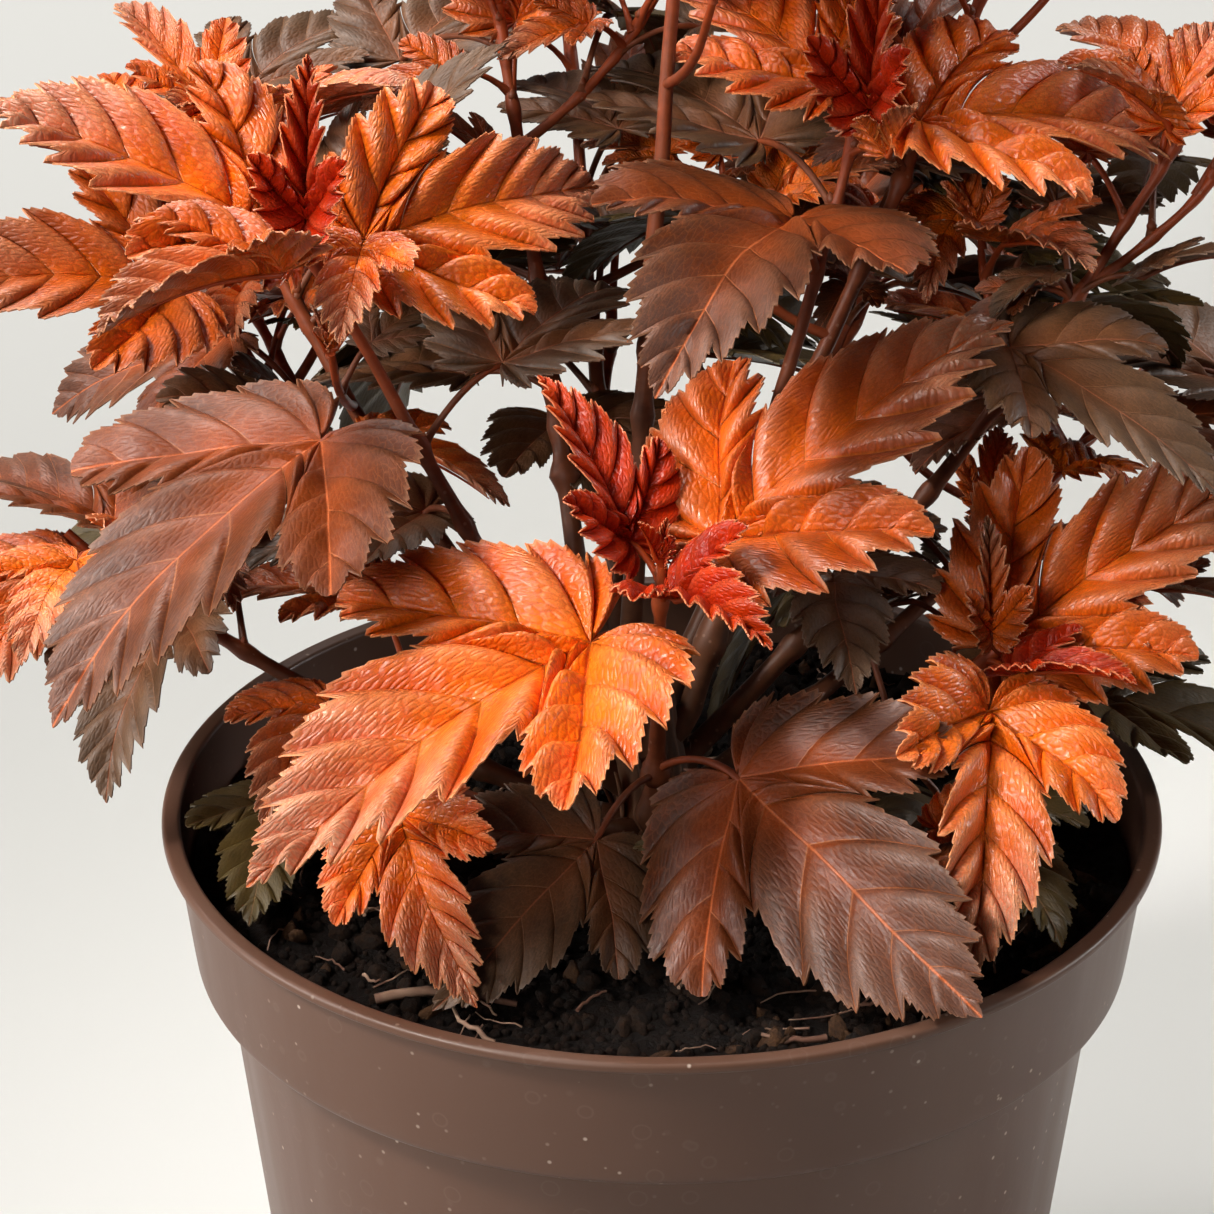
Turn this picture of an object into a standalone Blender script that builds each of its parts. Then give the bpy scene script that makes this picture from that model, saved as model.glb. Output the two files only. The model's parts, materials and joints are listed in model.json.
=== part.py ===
# Ninebark shrub with coppery autumn leaves, standing in its round nursery pot.
# Metres, +Z up. The origin is the middle of the pot's flat underside; -Y is the front.
import math
import random

import bmesh
import bpy
from mathutils import Matrix, Vector
from mathutils.bvhtree import BVHTree

MM = 0.001
GAP = 0.0003

# Pot: radii and heights of the turned wall.
POT_HEIGHT = 0.150
RIM_RADIUS = 0.095
COLLAR_HEIGHT = 0.0291
COLLAR_FOOT_RADIUS = 0.0895
BODY_TOP_RADIUS = 0.0839
BODY_FOOT_RADIUS = 0.0693
WALL = 0.0016
FLOOR = 0.0020
LIP_DROP = 0.0018
LIP_WIDTH = 0.0036
LIP_OVERHANG = 0.0023
POT_SEGMENTS = 48
DRAIN_HOLES = 6
DRAIN_RADIUS = 0.0045
DRAIN_CIRCLE = 0.050

# Potting mix: how far its top lies under the rim, and how uneven that top is.
SOIL_DROP = 0.012
SOIL_BUMP = 0.0016
FACET_SAG = 0.0002
SOIL_SEGMENTS = 24
SOIL_TOP = POT_HEIGHT - SOIL_DROP

# Woody stock that all the shoots spring from.
STOCK_HEIGHT = 0.036
STOCK_FLARE = 0.0125
STOCK_RADIUS = 0.0078
STOCK_TIP = 0.0060
STOCK_LEAN = 0.004
STOCK_SIDES = 12
TIERS = {"low": 0.010, "middle": 0.020, "high": 0.029}

# Limbs: radius at the foot, where the leaves begin, and at the tip, with their sides.
LIMB_FOOT = 0.0023
LIMB_TIP = 0.0009
LIMB_STEP = 0.014
BOUGH_SIDES = 7
STEM_SIDES = 5
TWIG_SIDES = 3
PETIOLE_RADIUS = 0.0008
TWIG_RADIUS = 0.0011

# Leaf form, in shares of the blade's length: distance from the base and angle from the midrib.
LEAF_TIP = 1.0
LEAF_EDGE = [(0.66, 16), (0.41, 30), (0.57, 50), (0.43, 76), (0.25, 128)]
LEAF_VEINS = [(0.46, 0), (0.30, 50), (0.30, -50)]
LEAF_THICKNESS = 0.017

# Rule for the leaves that no plan row gives: a spiral round the stem, largest low down.
SPIRAL = 137.5
SEED = 29

# The space that leaves keep to: clear above the soil, and inside a drum round the crown.
LEAF_LOWEST = 0.004
CROWN_RADIUS = 0.168
CROWN_BACK = 0.020
CROWN_TOP = 0.232

# No leaf of the rule stands in front of the planned ones: a sloping plane, up to a given height.
FRONT_DEPTH = -0.012
FRONT_TILT = 27
FRONT_TOP = 0.165
FRONT_FALL = 0.39

# Side twigs: length and leaf size as shares of the shoot's leaf size, and leaves on each.
TWIG_LENGTH = 0.62
TWIG_LEAF = 0.80
TWIG_LEAVES = 4

# A leaf that meets something is turned, tilted, pushed out and shrunk by up to these, then skipped.
TRIES = 20
NUDGE_TURN = 38
NUDGE_TILT = 24
NUDGE_OUT = 0.009
NUDGE_SHRINK = 0.35

LEAF_COLOURS = {
    "red": (0.36, 0.018, 0.006),
    "orange": (0.58, 0.110, 0.022),
    "copper": (0.42, 0.085, 0.028),
    "bronze": (0.20, 0.075, 0.050),
    "purple": (0.085, 0.040, 0.036),
    "olive": (0.055, 0.030, 0.012),
}

# The age, from 0 at a shoot's tip to 1 at its lowest leaf, up to which a leaf has each colour.
COLOUR_AGES = {"red": 0.06, "orange": 0.24, "copper": 0.40, "bronze": 0.58, "purple": 0.85}
AGE_SPREAD = 0.12

# One entry for each shoot. tip is in millimetres: right, back, and up from the rim. foot is the
# bearing, in degrees from the right, and the tier on the stock. sweep bends the shoot outwards
# before it rises, and bare is the share of it without leaves. count, size (mm) and turn drive the
# rule for its leaves, front is how far forward they may stand (m), and twigs says how many short
# side twigs it tries to bear. A row of leaves holds, in millimetres and degrees: blade base
# (right, back, up from the rim), bearing, rise, roll, length, fold, droop and colour.
SHOOTS = {
    "front": dict(tip=(0, -19, 60), foot=(268, "low"), sweep=0.0, bare=0.22, count=0, leaves=[
        (10, -14, 63, 27, 38, 12, 70, 8, 27, "copper"),
        (-13, -32, 51, 217, -7, -12, 78, 15, 30, "orange"),
        (14, -32, 23, 300, -8, 40, 71, 4, 24, "bronze"),
        (-5, -16, 63, 152, 65, 0, 38, 22, 23, "red"),
        (2, -26, 57, 293, 30, 20, 36, 42, 45, "red"),
        (-12, -34, 11, 234, -14, -34, 46, 5, 24, "purple"),
    ]),
    "left": dict(tip=(-66, 13, 110), foot=(184, "middle"), sweep=0.0, bare=0.45, count=0, leaves=[
        (-73, 12, 113, 190, 40, -30, 57, 16, 34, "orange"),
        (-69, -7, 113, 219, 14, 10, 42, 40, 30, "copper"),
        (-55, 12, 111, 28, 6, 41, 56, 16, 32, "orange"),
        (-55, 4, 113, 262, 0, 0, 27, 20, 35, "orange"),
        (-65, 3, 119, 80, 80, 0, 30, 52, 12, "red"),
        (-63, -2, 77, 226, -10, 0, 76, 8, 34, "bronze"),
        (-60, 42, 101, 28, 58, -2, 46, 13, 30, "purple"),
        (-45, 19, 52, 200, 6, 0, 44, 14, 32, "purple"),
        (-30, 15, 85, 62, 12, 0, 48, 14, 34, "purple"),
    ]),
    "upper_right": dict(tip=(36, 40, 122), foot=(24, "high"), sweep=0.0, bare=0.5, count=0, leaves=[
        (30, 40, 131, 129, 22, -8, 50, 12, 30, "orange"),
        (38, 37, 127, 70, 80, 0, 32, 50, 14, "red"),
        (46, 36, 125, 16, 2, 12, 65, 14, 33, "orange"),
        (24, 20, 112, 251, 14, -5, 70, 13, 38, "bronze"),
        (39, 35, 121, 300, 60, 0, 20, 45, 20, "copper"),
        (18, 60, 111, 126, 13, 0, 55, 14, 34, "purple"),
    ]),
    "right": dict(tip=(62, -10, 38), foot=(338, "low"), sweep=0.10, bare=0.5, count=0, leaves=[
        (64, -4, 37, 22, 31, 38, 60, 24, 24, "copper"),
        (60, -26, 34, 272, -15, -22, 54, 27, 47, "orange"),
        (64, -15, 36, 338, 24, 0, 27, 30, 30, "red"),
        (61, -8, 41, 100, 76, 0, 22, 55, 10, "copper"),
        (51, -6, 6, 278, -2, 0, 54, 14, 30, "olive"),
        (32, 12, 43, 273, 12, 0, 42, 14, 34, "purple"),
    ]),
    "low_left": dict(tip=(-114, 28, 43), foot=(186, "low"), sweep=0.14, bare=0.55, front=-1.0,
                     count=8, size=46, turn=100, twigs=1, leaves=[
        (-111, 26, 37, 250, 4, 0, 44, 14, 35, "copper"),
    ]),
    "low_front_left": dict(tip=(-50, -30, 26), foot=(226, "low"), sweep=0.12, bare=0.4, count=0, leaves=[
        (-48, -38, 19, 273, -30, 31, 42, 16, 37, "orange"),
        (-62, -13, 28, 250, 2, 0, 34, 14, 35, "copper"),
        (-71, -4, 2, 259, 5, 0, 36, 14, 35, "olive"),
        (-54, 14, 36, 168, 10, 0, 36, 14, 35, "copper"),
    ]),
    "low_front_right": dict(tip=(48, -34, 6), foot=(308, "low"), sweep=0.15, bare=0.5, front=-1.0,
                            count=5, size=46, turn=20),
    "far_right": dict(tip=(97, 50, 116), foot=(36, "middle"), sweep=0.08, bare=0.55, front=-0.03,
                      count=10, size=54, turn=40, twigs=2, leaves=[
        (63, 24, 85, 324, -6, 0, 54, 12, 28, "purple"),
        (99, 80, 114, 122, 15, 0, 40, 14, 34, "copper"),
    ]),
    "low_right": dict(tip=(88, 26, 32), foot=(2, "low"), sweep=0.12, bare=0.4, front=-0.03,
                      count=10, size=54, turn=15, twigs=2, leaves=[
        (82, 25, 11, 350, -6, 0, 52, 14, 34, "olive"),
    ]),
    "back_left": dict(tip=(-88, 68, 112), foot=(150, "middle"), sweep=0.12, bare=0.5,
                      count=12, size=54, turn=200, twigs=2, leaves=[
        (-94, 62, 79, 205, 20, -40, 52, 18, 34, "copper"),
        (-82, 90, 109, 56, 20, 0, 40, 14, 34, "purple"),
    ]),
    "back_upper_left": dict(tip=(-34, 82, 142), foot=(160, "high"), sweep=0.0, bare=0.4,
                            count=15, size=60, turn=60, twigs=2, leaves=[
        (-43, 60, 83, 56, 14, 0, 44, 14, 34, "olive"),
        (-37, 42, 70, 133, -7, 0, 52, 14, 34, "purple"),
        (-52, 95, 113, 60, 18, 0, 46, 14, 34, "purple"),
    ]),
    "crown": dict(tip=(6, 58, 196), foot=(112, "high"), sweep=-0.10, bare=0.35,
                  count=18, size=66, turn=310, twigs=3),
    "back_upper_right": dict(tip=(68, 88, 146), foot=(66, "high"), sweep=0.0, bare=0.4,
                             count=16, size=62, turn=130, twigs=3, leaves=[
        (51, 75, 96, 51, -9, 0, 40, 14, 34, "olive"),
    ]),
    "back": dict(tip=(-20, 124, 118), foot=(112, "middle"), sweep=0.05, bare=0.35,
                 count=20, size=62, turn=20, twigs=3, leaves=[
        (-9, 80, 105, 123, 11, 0, 40, 14, 34, "purple"),
        (-20, 53, 55, 297, 5, 0, 46, 14, 34, "purple"),
    ]),
    "back_right": dict(tip=(48, 118, 84), foot=(74, "middle"), sweep=0.10, bare=0.4,
                       count=18, size=60, turn=75, twigs=3),
    "low_back_left": dict(tip=(-86, 96, 66), foot=(130, "low"), sweep=0.14, bare=0.45,
                          count=14, size=58, turn=170, twigs=3),
    "low_back_right": dict(tip=(96, 84, 52), foot=(52, "low"), sweep=0.12, bare=0.45,
                           count=16, size=58, turn=220, twigs=3, leaves=[
        (114, 75, 53, 123, 12, 0, 52, 14, 34, "purple"),
    ]),
}


def clear_scene():
    for obj in list(bpy.data.objects):
        bpy.data.objects.remove(obj, do_unlink=True)


def material(name, colour, roughness, metallic=0.0):
    made = bpy.data.materials.get(name)
    if made:
        return made
    made = bpy.data.materials.new(name)
    made.use_nodes = True
    shader = made.node_tree.nodes["Principled BSDF"]
    shader.inputs["Base Color"].default_value = (*colour, 1.0)
    shader.inputs["Roughness"].default_value = roughness
    shader.inputs["Metallic"].default_value = metallic
    return made


def mesh_object(name, points, faces, finish, collection=None):
    mesh = bpy.data.meshes.new(name)
    mesh.from_pydata(points, [], faces)
    mesh.materials.append(finish)
    obj = bpy.data.objects.new(name, mesh)
    (collection or bpy.context.scene.collection).objects.link(obj)
    return obj


def turned(profile, segments):
    """Points and faces of a closed profile turned round Z; its ends lie on the axis."""
    points, rings = [], []
    for radius, height in profile:
        if radius == 0:
            rings.append([len(points)])
            points.append(Vector((0, 0, height)))
            continue
        rings.append(list(range(len(points), len(points) + segments)))
        for k in range(segments):
            angle = math.tau * k / segments
            points.append(Vector((radius * math.cos(angle), radius * math.sin(angle), height)))
    faces = []
    for low, high in zip(rings, rings[1:]):
        for k in range(segments):
            below = [low[k % len(low)], low[(k + 1) % len(low)]]
            above = [high[(k + 1) % len(high)], high[k % len(high)]]
            faces.append(list(dict.fromkeys(below + above)))
    return points, faces


def pot_profile():
    """Outer wall from the underside up to the lip, then the inner wall down to the floor."""
    collar_foot = POT_HEIGHT - COLLAR_HEIGHT
    lip_inner = RIM_RADIUS - LIP_WIDTH
    wall_at_lip = RIM_RADIUS - LIP_OVERHANG
    return [
        (0, 0),
        (BODY_FOOT_RADIUS - 0.0020, 0),
        (BODY_FOOT_RADIUS, 0.0022),
        (BODY_TOP_RADIUS, collar_foot - 0.0006),
        (COLLAR_FOOT_RADIUS - 0.0016, collar_foot),
        (COLLAR_FOOT_RADIUS - 0.0003, collar_foot + 0.0010),
        (COLLAR_FOOT_RADIUS, collar_foot + 0.0028),
        (wall_at_lip, POT_HEIGHT - LIP_DROP - 0.0008),
        (RIM_RADIUS - 0.0004, POT_HEIGHT - LIP_DROP),
        (RIM_RADIUS, POT_HEIGHT - 0.0011),
        (RIM_RADIUS - 0.0007, POT_HEIGHT - 0.0002),
        (RIM_RADIUS - 0.0018, POT_HEIGHT),
        (lip_inner + 0.0005, POT_HEIGHT - 0.0003),
        (lip_inner, POT_HEIGHT - 0.0013),
        (COLLAR_FOOT_RADIUS - WALL, collar_foot + 0.0030),
        (BODY_TOP_RADIUS - WALL, collar_foot - 0.0020),
        (BODY_FOOT_RADIUS - WALL, FLOOR + 0.0014),
        (BODY_FOOT_RADIUS - WALL - 0.0012, FLOOR),
        (0, FLOOR),
    ]


def drain_cutter(index):
    angle = math.tau * (index + 0.5) / DRAIN_HOLES
    bpy.ops.mesh.primitive_cylinder_add(vertices=12, radius=DRAIN_RADIUS, depth=4 * FLOOR)
    cutter = bpy.context.object
    cutter.name = f"drain_cutter_{index}"
    cutter.location = (DRAIN_CIRCLE * math.cos(angle), DRAIN_CIRCLE * math.sin(angle), FLOOR / 2)
    return cutter


def make_pot():
    points, faces = turned(pot_profile(), POT_SEGMENTS)
    plastic = material("pot_plastic", (0.082, 0.050, 0.042), 0.48)
    pot = mesh_object("pot", points, faces, plastic)
    for index in range(DRAIN_HOLES):
        cut_and_remove(pot, drain_cutter(index))
    pot.data.shade_smooth()
    pot.data.set_sharp_from_angle(angle=math.radians(30))
    return pot


def cut_and_remove(obj, cutter):
    cut = obj.modifiers.new("drain", "BOOLEAN")
    cut.operation = "DIFFERENCE"
    cut.object = cutter
    bake_modifiers(obj)
    bpy.data.objects.remove(cutter, do_unlink=True)


def bake_modifiers(obj):
    bpy.context.view_layer.update()
    evaluated = obj.evaluated_get(bpy.context.evaluated_depsgraph_get())
    baked = bpy.data.meshes.new_from_object(evaluated)
    obj.modifiers.clear()
    obj.data = baked


def make_soil():
    """Potting mix, one wall's gap clear of the pot, with a gently uneven top."""
    clear = WALL + GAP + FACET_SAG
    collar_foot = POT_HEIGHT - COLLAR_HEIGHT
    side = [
        (0, FLOOR + GAP),
        (BODY_FOOT_RADIUS - clear - 0.0014, FLOOR + GAP),
        (BODY_FOOT_RADIUS - clear, FLOOR + 0.0020),
        (BODY_TOP_RADIUS - clear, collar_foot - 0.0018),
        (COLLAR_FOOT_RADIUS - clear, collar_foot + 0.0034),
        (COLLAR_FOOT_RADIUS - clear + 0.0014, SOIL_TOP - 0.001),
        (0.068, SOIL_TOP),
        (0.045, SOIL_TOP),
        (0.024, SOIL_TOP),
        (0, SOIL_TOP),
    ]
    points, faces = turned(side, SOIL_SEGMENTS)
    for point in points:
        out = math.hypot(point.x, point.y)
        if point.z >= SOIL_TOP and out > 0.03:
            point.z += SOIL_BUMP * math.sin(point.x * 130 + 1) * math.cos(point.y * 110)
    return mesh_object("soil", points, faces, material("potting_mix", (0.022, 0.014, 0.010), 0.95))


def stock_axis(height):
    """The stock leans a little to the left as it rises."""
    return Vector((-STOCK_LEAN * height / STOCK_HEIGHT, 0, SOIL_TOP + height))


def stock_radius(height):
    flare = (STOCK_FLARE - STOCK_RADIUS) * math.exp(-height / 0.004)
    return flare + STOCK_RADIUS + (STOCK_TIP - STOCK_RADIUS) * height / STOCK_HEIGHT


def make_stock():
    heights = [GAP, 0.0015, 0.004, 0.008, 0.014, 0.022, 0.030, STOCK_HEIGHT]
    rings = [(stock_axis(h), stock_radius(h)) for h in heights]
    rings.append((stock_axis(STOCK_HEIGHT + 0.002), STOCK_TIP * 0.6))
    points, faces = tube(rings, STOCK_SIDES, upright=True)
    return mesh_object("main_stem", points, faces, material("old_bark", (0.12, 0.060, 0.035), 0.8))


def tube(rings, sides, upright=False):
    """Points and faces of a closed tube through rings of (centre, radius)."""
    centres = [centre for centre, _ in rings]
    points, faces = [], []
    for index, (centre, radius) in enumerate(rings):
        ahead = centres[min(index + 1, len(rings) - 1)] - centres[max(index - 1, 0)]
        forward = Vector((0, 0, 1)) if upright else ahead.normalized()
        across = forward.cross(Vector((0.31, 0.95, 0.05))).normalized()
        over = forward.cross(across)
        for k in range(sides):
            angle = math.tau * k / sides
            points.append(centre + (across * math.cos(angle) + over * math.sin(angle)) * radius)
    for ring in range(len(rings) - 1):
        for k in range(sides):
            first, after = ring * sides + k, ring * sides + (k + 1) % sides
            faces.append([first, after, after + sides, first + sides])
    faces.append(list(range(sides))[::-1])
    faces.append([len(points) - sides + k for k in range(sides)])
    return points, faces


def tip_point(shoot):
    right, back, up = shoot["tip"]
    return Vector((right * MM, back * MM, POT_HEIGHT + up * MM))


def foot_point(shoot):
    """Where the shoot leaves the stock, clear of its surface."""
    bearing, tier = shoot["foot"]
    height = TIERS[tier]
    out = stock_radius(height - 0.003) + LIMB_FOOT + GAP
    turn = math.radians(bearing)
    return stock_axis(height) + Vector((math.cos(turn), math.sin(turn), 0)) * out


def shoot_stem(shoot):
    """A shoot from the stock: its bough runs up to bare, and its leafy stem goes on from there."""
    foot, tip = foot_point(shoot), tip_point(shoot)
    span = tip - foot
    level, rise = 0.5 + shoot["sweep"], 0.5 - shoot["sweep"]
    bend = foot + Vector((span.x * level, span.y * level, span.z * rise))
    stem = dict(foot=foot, bend=bend, tip=tip, bare=shoot["bare"], radii=(LIMB_FOOT, LIMB_TIP))
    stem["start"] = stem["bare"] + GAP / span.length
    stem["rings"] = stem_rings(stem, stem["start"], 1)
    return stem


def stem_rings(stem, start, end):
    """Centres and radii along a limb's curve, from its foot, 0, to its tip, 1."""
    length = (stem["tip"] - stem["foot"]).length
    steps = max(2, round(length * (end - start) / LIMB_STEP))
    thick, thin = stem["radii"]
    rings = []
    for step in range(steps + 1):
        share = start + (end - start) * step / steps
        rest = 1 - share
        centre = stem["foot"] * rest ** 2 + stem["bend"] * 2 * share * rest + stem["tip"] * share ** 2
        rings.append((centre, thick + (thin - thick) * share ** 0.8))
    return rings


def stem_point(stem, share):
    """The point at this share on the straight runs between a leafy stem's rings."""
    rings = stem["rings"]
    place = (share - stem["start"]) / (1 - stem["start"]) * (len(rings) - 1)
    low = min(int(place), len(rings) - 2)
    return rings[low][0].lerp(rings[low + 1][0], place - low)


def side_twig(shoot, stem, index, dice):
    """Side twig number index: it leaves its shoot on the spiral and curves up."""
    share = stem["bare"] + (0.88 - stem["bare"]) * (index + 0.4) / shoot["twigs"]
    bearing = math.radians(shoot["turn"] + 65 + SPIRAL * 2 * index + dice.uniform(-12, 12))
    length = shoot["size"] * MM * TWIG_LENGTH * dice.uniform(0.8, 1.2)
    foot = stem_point(stem, share)
    out = Vector((math.cos(bearing), math.sin(bearing), 0.45)).normalized()
    bend = foot + out * length * 0.5
    tip = bend + (out + Vector((0, 0, 1.0))).normalized() * length * 0.5
    twig = dict(foot=foot, bend=bend, tip=tip, bare=0.35, start=0, radii=(TWIG_RADIUS, TWIG_RADIUS * 0.7))
    twig["rings"] = stem_rings(twig, 0, 1)
    return twig


def bent(along, across, fold, droop):
    """A point of the flat unit blade after its halves fold up and its rib arches down."""
    turn = droop * along
    rib = Vector((math.sin(turn) / droop, 0, (math.cos(turn) - 1) / droop))
    upward = Vector((math.sin(turn), 0, math.cos(turn)))
    return rib + Vector((0, across * math.cos(fold), 0)) + upward * abs(across) * math.sin(fold)


def blade_frame(leaf):
    turn = Matrix.Rotation(math.radians(leaf["bearing"]), 4, "Z")
    turn = turn @ Matrix.Rotation(math.radians(-leaf["rise"]), 4, "Y")
    turn = turn @ Matrix.Rotation(math.radians(leaf["roll"]), 4, "X")
    return Matrix.Translation(leaf["base"]) @ turn @ Matrix.Scale(leaf["length"], 4)


def on_blade(leaf, along, across, off=0.0):
    fold, droop = math.radians(leaf["fold"]), math.radians(leaf["droop"])
    point = bent(along, across, fold, droop)
    turn = droop * along
    return blade_frame(leaf) @ (point + Vector((math.sin(turn), 0, math.cos(turn))) * off)


def flat(share, angle):
    turn = math.radians(angle)
    return share * math.cos(turn), share * math.sin(turn)


def ring_of(centre, forward, left, radius):
    """The four points round a petiole: left, upper, right and under."""
    across = (left - forward * left.dot(forward)).normalized()
    over = forward.cross(across)
    return [centre + way * radius for way in (across, over, -across, -over)]


def petiole_rings(leaf):
    """From inside the stem up in a curve to the blade's base, where the ring meets the blade."""
    start, base = leaf["node"], leaf["base"]
    reach = (base - start).length
    turn = blade_frame(leaf).to_3x3().normalized()
    ahead, left = turn.col[0], turn.col[1]
    bend = start.lerp(base, 0.5) + Vector((0, 0, 0.12 * reach))
    radius = PETIOLE_RADIUS * (0.75 + 0.35 * leaf["length"] / 0.07)
    rings = ring_of(start, (bend - start).normalized(), left, radius)
    if reach > 0.006:
        rings += ring_of(bend, (base - start).normalized(), left, radius)
    return rings + ring_of(base, ahead, left, radius)


def leaf_solid(leaf):
    """Petiole and blade as one closed skin. The blade is a lens: its edge runs round once, and
    the three vein points stand off it on both sides. Returns the points, the petiole's faces
    and the blade's faces."""
    points = petiole_rings(leaf)
    petiole = [[3, 2, 1, 0]]
    for ring in range(0, len(points) - 4, 4):
        sides = [(ring + k, ring + (k + 1) % 4) for k in range(4)]
        petiole += [[first, after, after + 4, first + 4] for first, after in sides]
    last = len(points)
    half = [flat(share, angle) for share, angle in LEAF_EDGE]
    edge = [(x, -y) for x, y in reversed(half)] + [(LEAF_TIP, 0.0)] + half
    points += [on_blade(leaf, x, y) for x, y in edge]
    veins = [flat(share, angle) for share, angle in LEAF_VEINS]
    for side in (1, -1):
        points += [on_blade(leaf, x, y, side * LEAF_THICKNESS / 2) for x, y in veins]
    rim = [last + k for k in range(len(edge))]
    upper = blade_faces(rim, last - 4, last - 3, last - 2, last + len(edge))
    lower = blade_faces(rim, last - 4, last - 1, last - 2, last + len(edge) + 3)
    return points, petiole, upper + [face[::-1] for face in lower]


def blade_faces(rim, left_root, root, right_root, veins):
    """Triangles over one side of a blade, from its rim to its rib point and two lobe points."""
    rib, left, right = veins, veins + 1, veins + 2
    tip, end = len(rim) // 2, len(rim) - 1
    faces = [[right_root, rim[0], right], [right_root, right, root], [root, right, rib]]
    faces += [[root, rib, left], [root, left, left_root], [left_root, left, rim[end]]]
    faces += [[rim[k], rim[k + 1], right] for k in range(tip - 2)]
    faces += [[rim[tip - 2], rib, right], [rim[tip + 2], left, rib]]
    faces += [[rim[k], rim[k + 1], rib] for k in range(tip - 2, tip + 2)]
    faces += [[rim[k], rim[k + 1], left] for k in range(tip + 2, end)]
    return faces


def node_on(stem, base, length):
    """The point of the stem that a petiole starts from: nearest to a place under the blade's base."""
    wanted = base - Vector((0, 0, 0.16 * length))
    shares = [stem["bare"] + 0.02 + (0.97 - stem["bare"]) * k / 40 for k in range(41)]
    nearest = min(shares, key=lambda share: (stem_point(stem, share) - wanted).length)
    return stem_point(stem, nearest)


def leaf_row(stem, row):
    """A planned leaf of one of the rows in SHOOTS."""
    right, back, up, bearing, rise, roll, length, fold, droop, colour = row
    base = Vector((right * MM, back * MM, POT_HEIGHT + up * MM))
    return dict(base=base, bearing=bearing, rise=rise, roll=roll, length=length * MM, fold=fold,
                droop=droop, colour=colour, node=node_on(stem, base, length * MM))


def age_colour(height, dice):
    """Young leaves at the tip are red, then copper; old ones low on the shoot go purple."""
    age = 1 - height + dice.uniform(-AGE_SPREAD, AGE_SPREAD)
    for colour, limit in COLOUR_AGES.items():
        if age < limit:
            return colour
    return "olive"


def rule_leaf(stem, turn, size, index, count, dice):
    """Leaf number index of count on its stem's spiral, from the lowest node up to the tip."""
    height = (index / max(1, count - 1)) ** 0.85
    share = stem["bare"] + 0.05 + (0.94 - stem["bare"]) * height
    length = size * (1.05 - 0.62 * height ** 2.2) * dice.uniform(0.88, 1.10)
    bearing = turn + SPIRAL * index + dice.uniform(-14, 14)
    rise = -14 + 58 * height ** 1.5 + dice.uniform(-9, 9)
    climb, way = math.radians(34 + 34 * height), math.radians(bearing)
    out = Vector((math.cos(way) * math.cos(climb), math.sin(way) * math.cos(climb), math.sin(climb)))
    node = stem_point(stem, share)
    base = node + out * length * (0.42 - 0.14 * height)
    return dict(base=base, bearing=bearing, rise=rise, roll=dice.uniform(-16, 16), length=length,
                fold=12 + 20 * height, droop=42 - 14 * height, colour=age_colour(height, dice), node=node)


def nudged(leaf, share, dice):
    """The same leaf turned, tilted, pushed out and shrunk a little, by more the larger share is."""
    moved = dict(leaf)
    moved["bearing"] += dice.uniform(-1, 1) * NUDGE_TURN * share
    moved["rise"] += dice.uniform(-1, 1) * NUDGE_TILT * share
    moved["roll"] += dice.uniform(-1, 1) * NUDGE_TILT * share
    way = math.radians(moved["bearing"])
    out = NUDGE_OUT * share * dice.random()
    moved["base"] = leaf["base"] + Vector((math.cos(way), math.sin(way), 0)) * out
    moved["length"] *= 1 - NUDGE_SHRINK * share * dice.random()
    return moved


def solid_tree(points, faces):
    return BVHTree.FromPolygons(points, faces, all_triangles=False)


def leaf_shape(leaf, owner):
    """A leaf's solid, with the trees and the sphere that the tests on it use."""
    points, petiole, blade = leaf_solid(leaf)
    return dict(leaf=leaf, owner=owner, points=points, faces=petiole + blade,
                blade_tree=solid_tree(points, blade), petiole_tree=solid_tree(points, petiole),
                middle=on_blade(leaf, 0.4, 0), reach=0.75 * leaf["length"] + 0.02)


def before_front(point, depth):
    """Whether a point stands in front of the planned leaves, seen from the front and a little above."""
    up, tilt = point.z - POT_HEIGHT, math.radians(FRONT_TILT)
    in_front = point.y * math.cos(tilt) - up * math.sin(tilt) < depth
    return in_front and up < FRONT_TOP - FRONT_FALL * point.y


def in_crown(shape):
    for point in shape["points"]:
        if math.hypot(point.x, point.y - CROWN_BACK) > CROWN_RADIUS:
            return False
        if point.z > POT_HEIGHT + CROWN_TOP:
            return False
        if point.z < SOIL_TOP + LEAF_LOWEST and math.hypot(point.x, point.y) < RIM_RADIUS:
            return False
    return True


def touches(shape, others, limbs, owner):
    """Whether this leaf meets another leaf, or a limb that it doesn't grow on."""
    for other in others:
        if (shape["middle"] - other["middle"]).length > shape["reach"] + other["reach"]:
            continue
        if shape["blade_tree"].overlap(other["blade_tree"]):
            return True
        if shape["blade_tree"].overlap(other["petiole_tree"]):
            return True
        if shape["petiole_tree"].overlap(other["blade_tree"]):
            return True
        if owner != other["owner"] and shape["petiole_tree"].overlap(other["petiole_tree"]):
            return True
    for limb_owner, tree in limbs:
        if shape["blade_tree"].overlap(tree):
            return True
        if limb_owner != owner and shape["petiole_tree"].overlap(tree):
            return True
    return False


def clear_leaf(leaf, owner, kept, limbs, dice, depth):
    """The leaf as given, or nudged until it is clear of all else; None where no try is."""
    for attempt in range(TRIES):
        shape = leaf_shape(nudged(leaf, attempt / TRIES, dice) if attempt else leaf, owner)
        if any(before_front(point, depth) for point in shape["points"]):
            continue
        if in_crown(shape) and not touches(shape, kept, limbs, owner):
            return shape
    return None


def grow_planned(stems, limbs, dice):
    """The leaves of the rows in SHOOTS, which make the front of the crown."""
    kept = []
    for name, shoot in SHOOTS.items():
        for row in shoot.get("leaves", []):
            shape = clear_leaf(leaf_row(stems[name], row), name, kept, limbs, dice, -1.0)
            if shape:
                kept.append(shape)
    return kept


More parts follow.
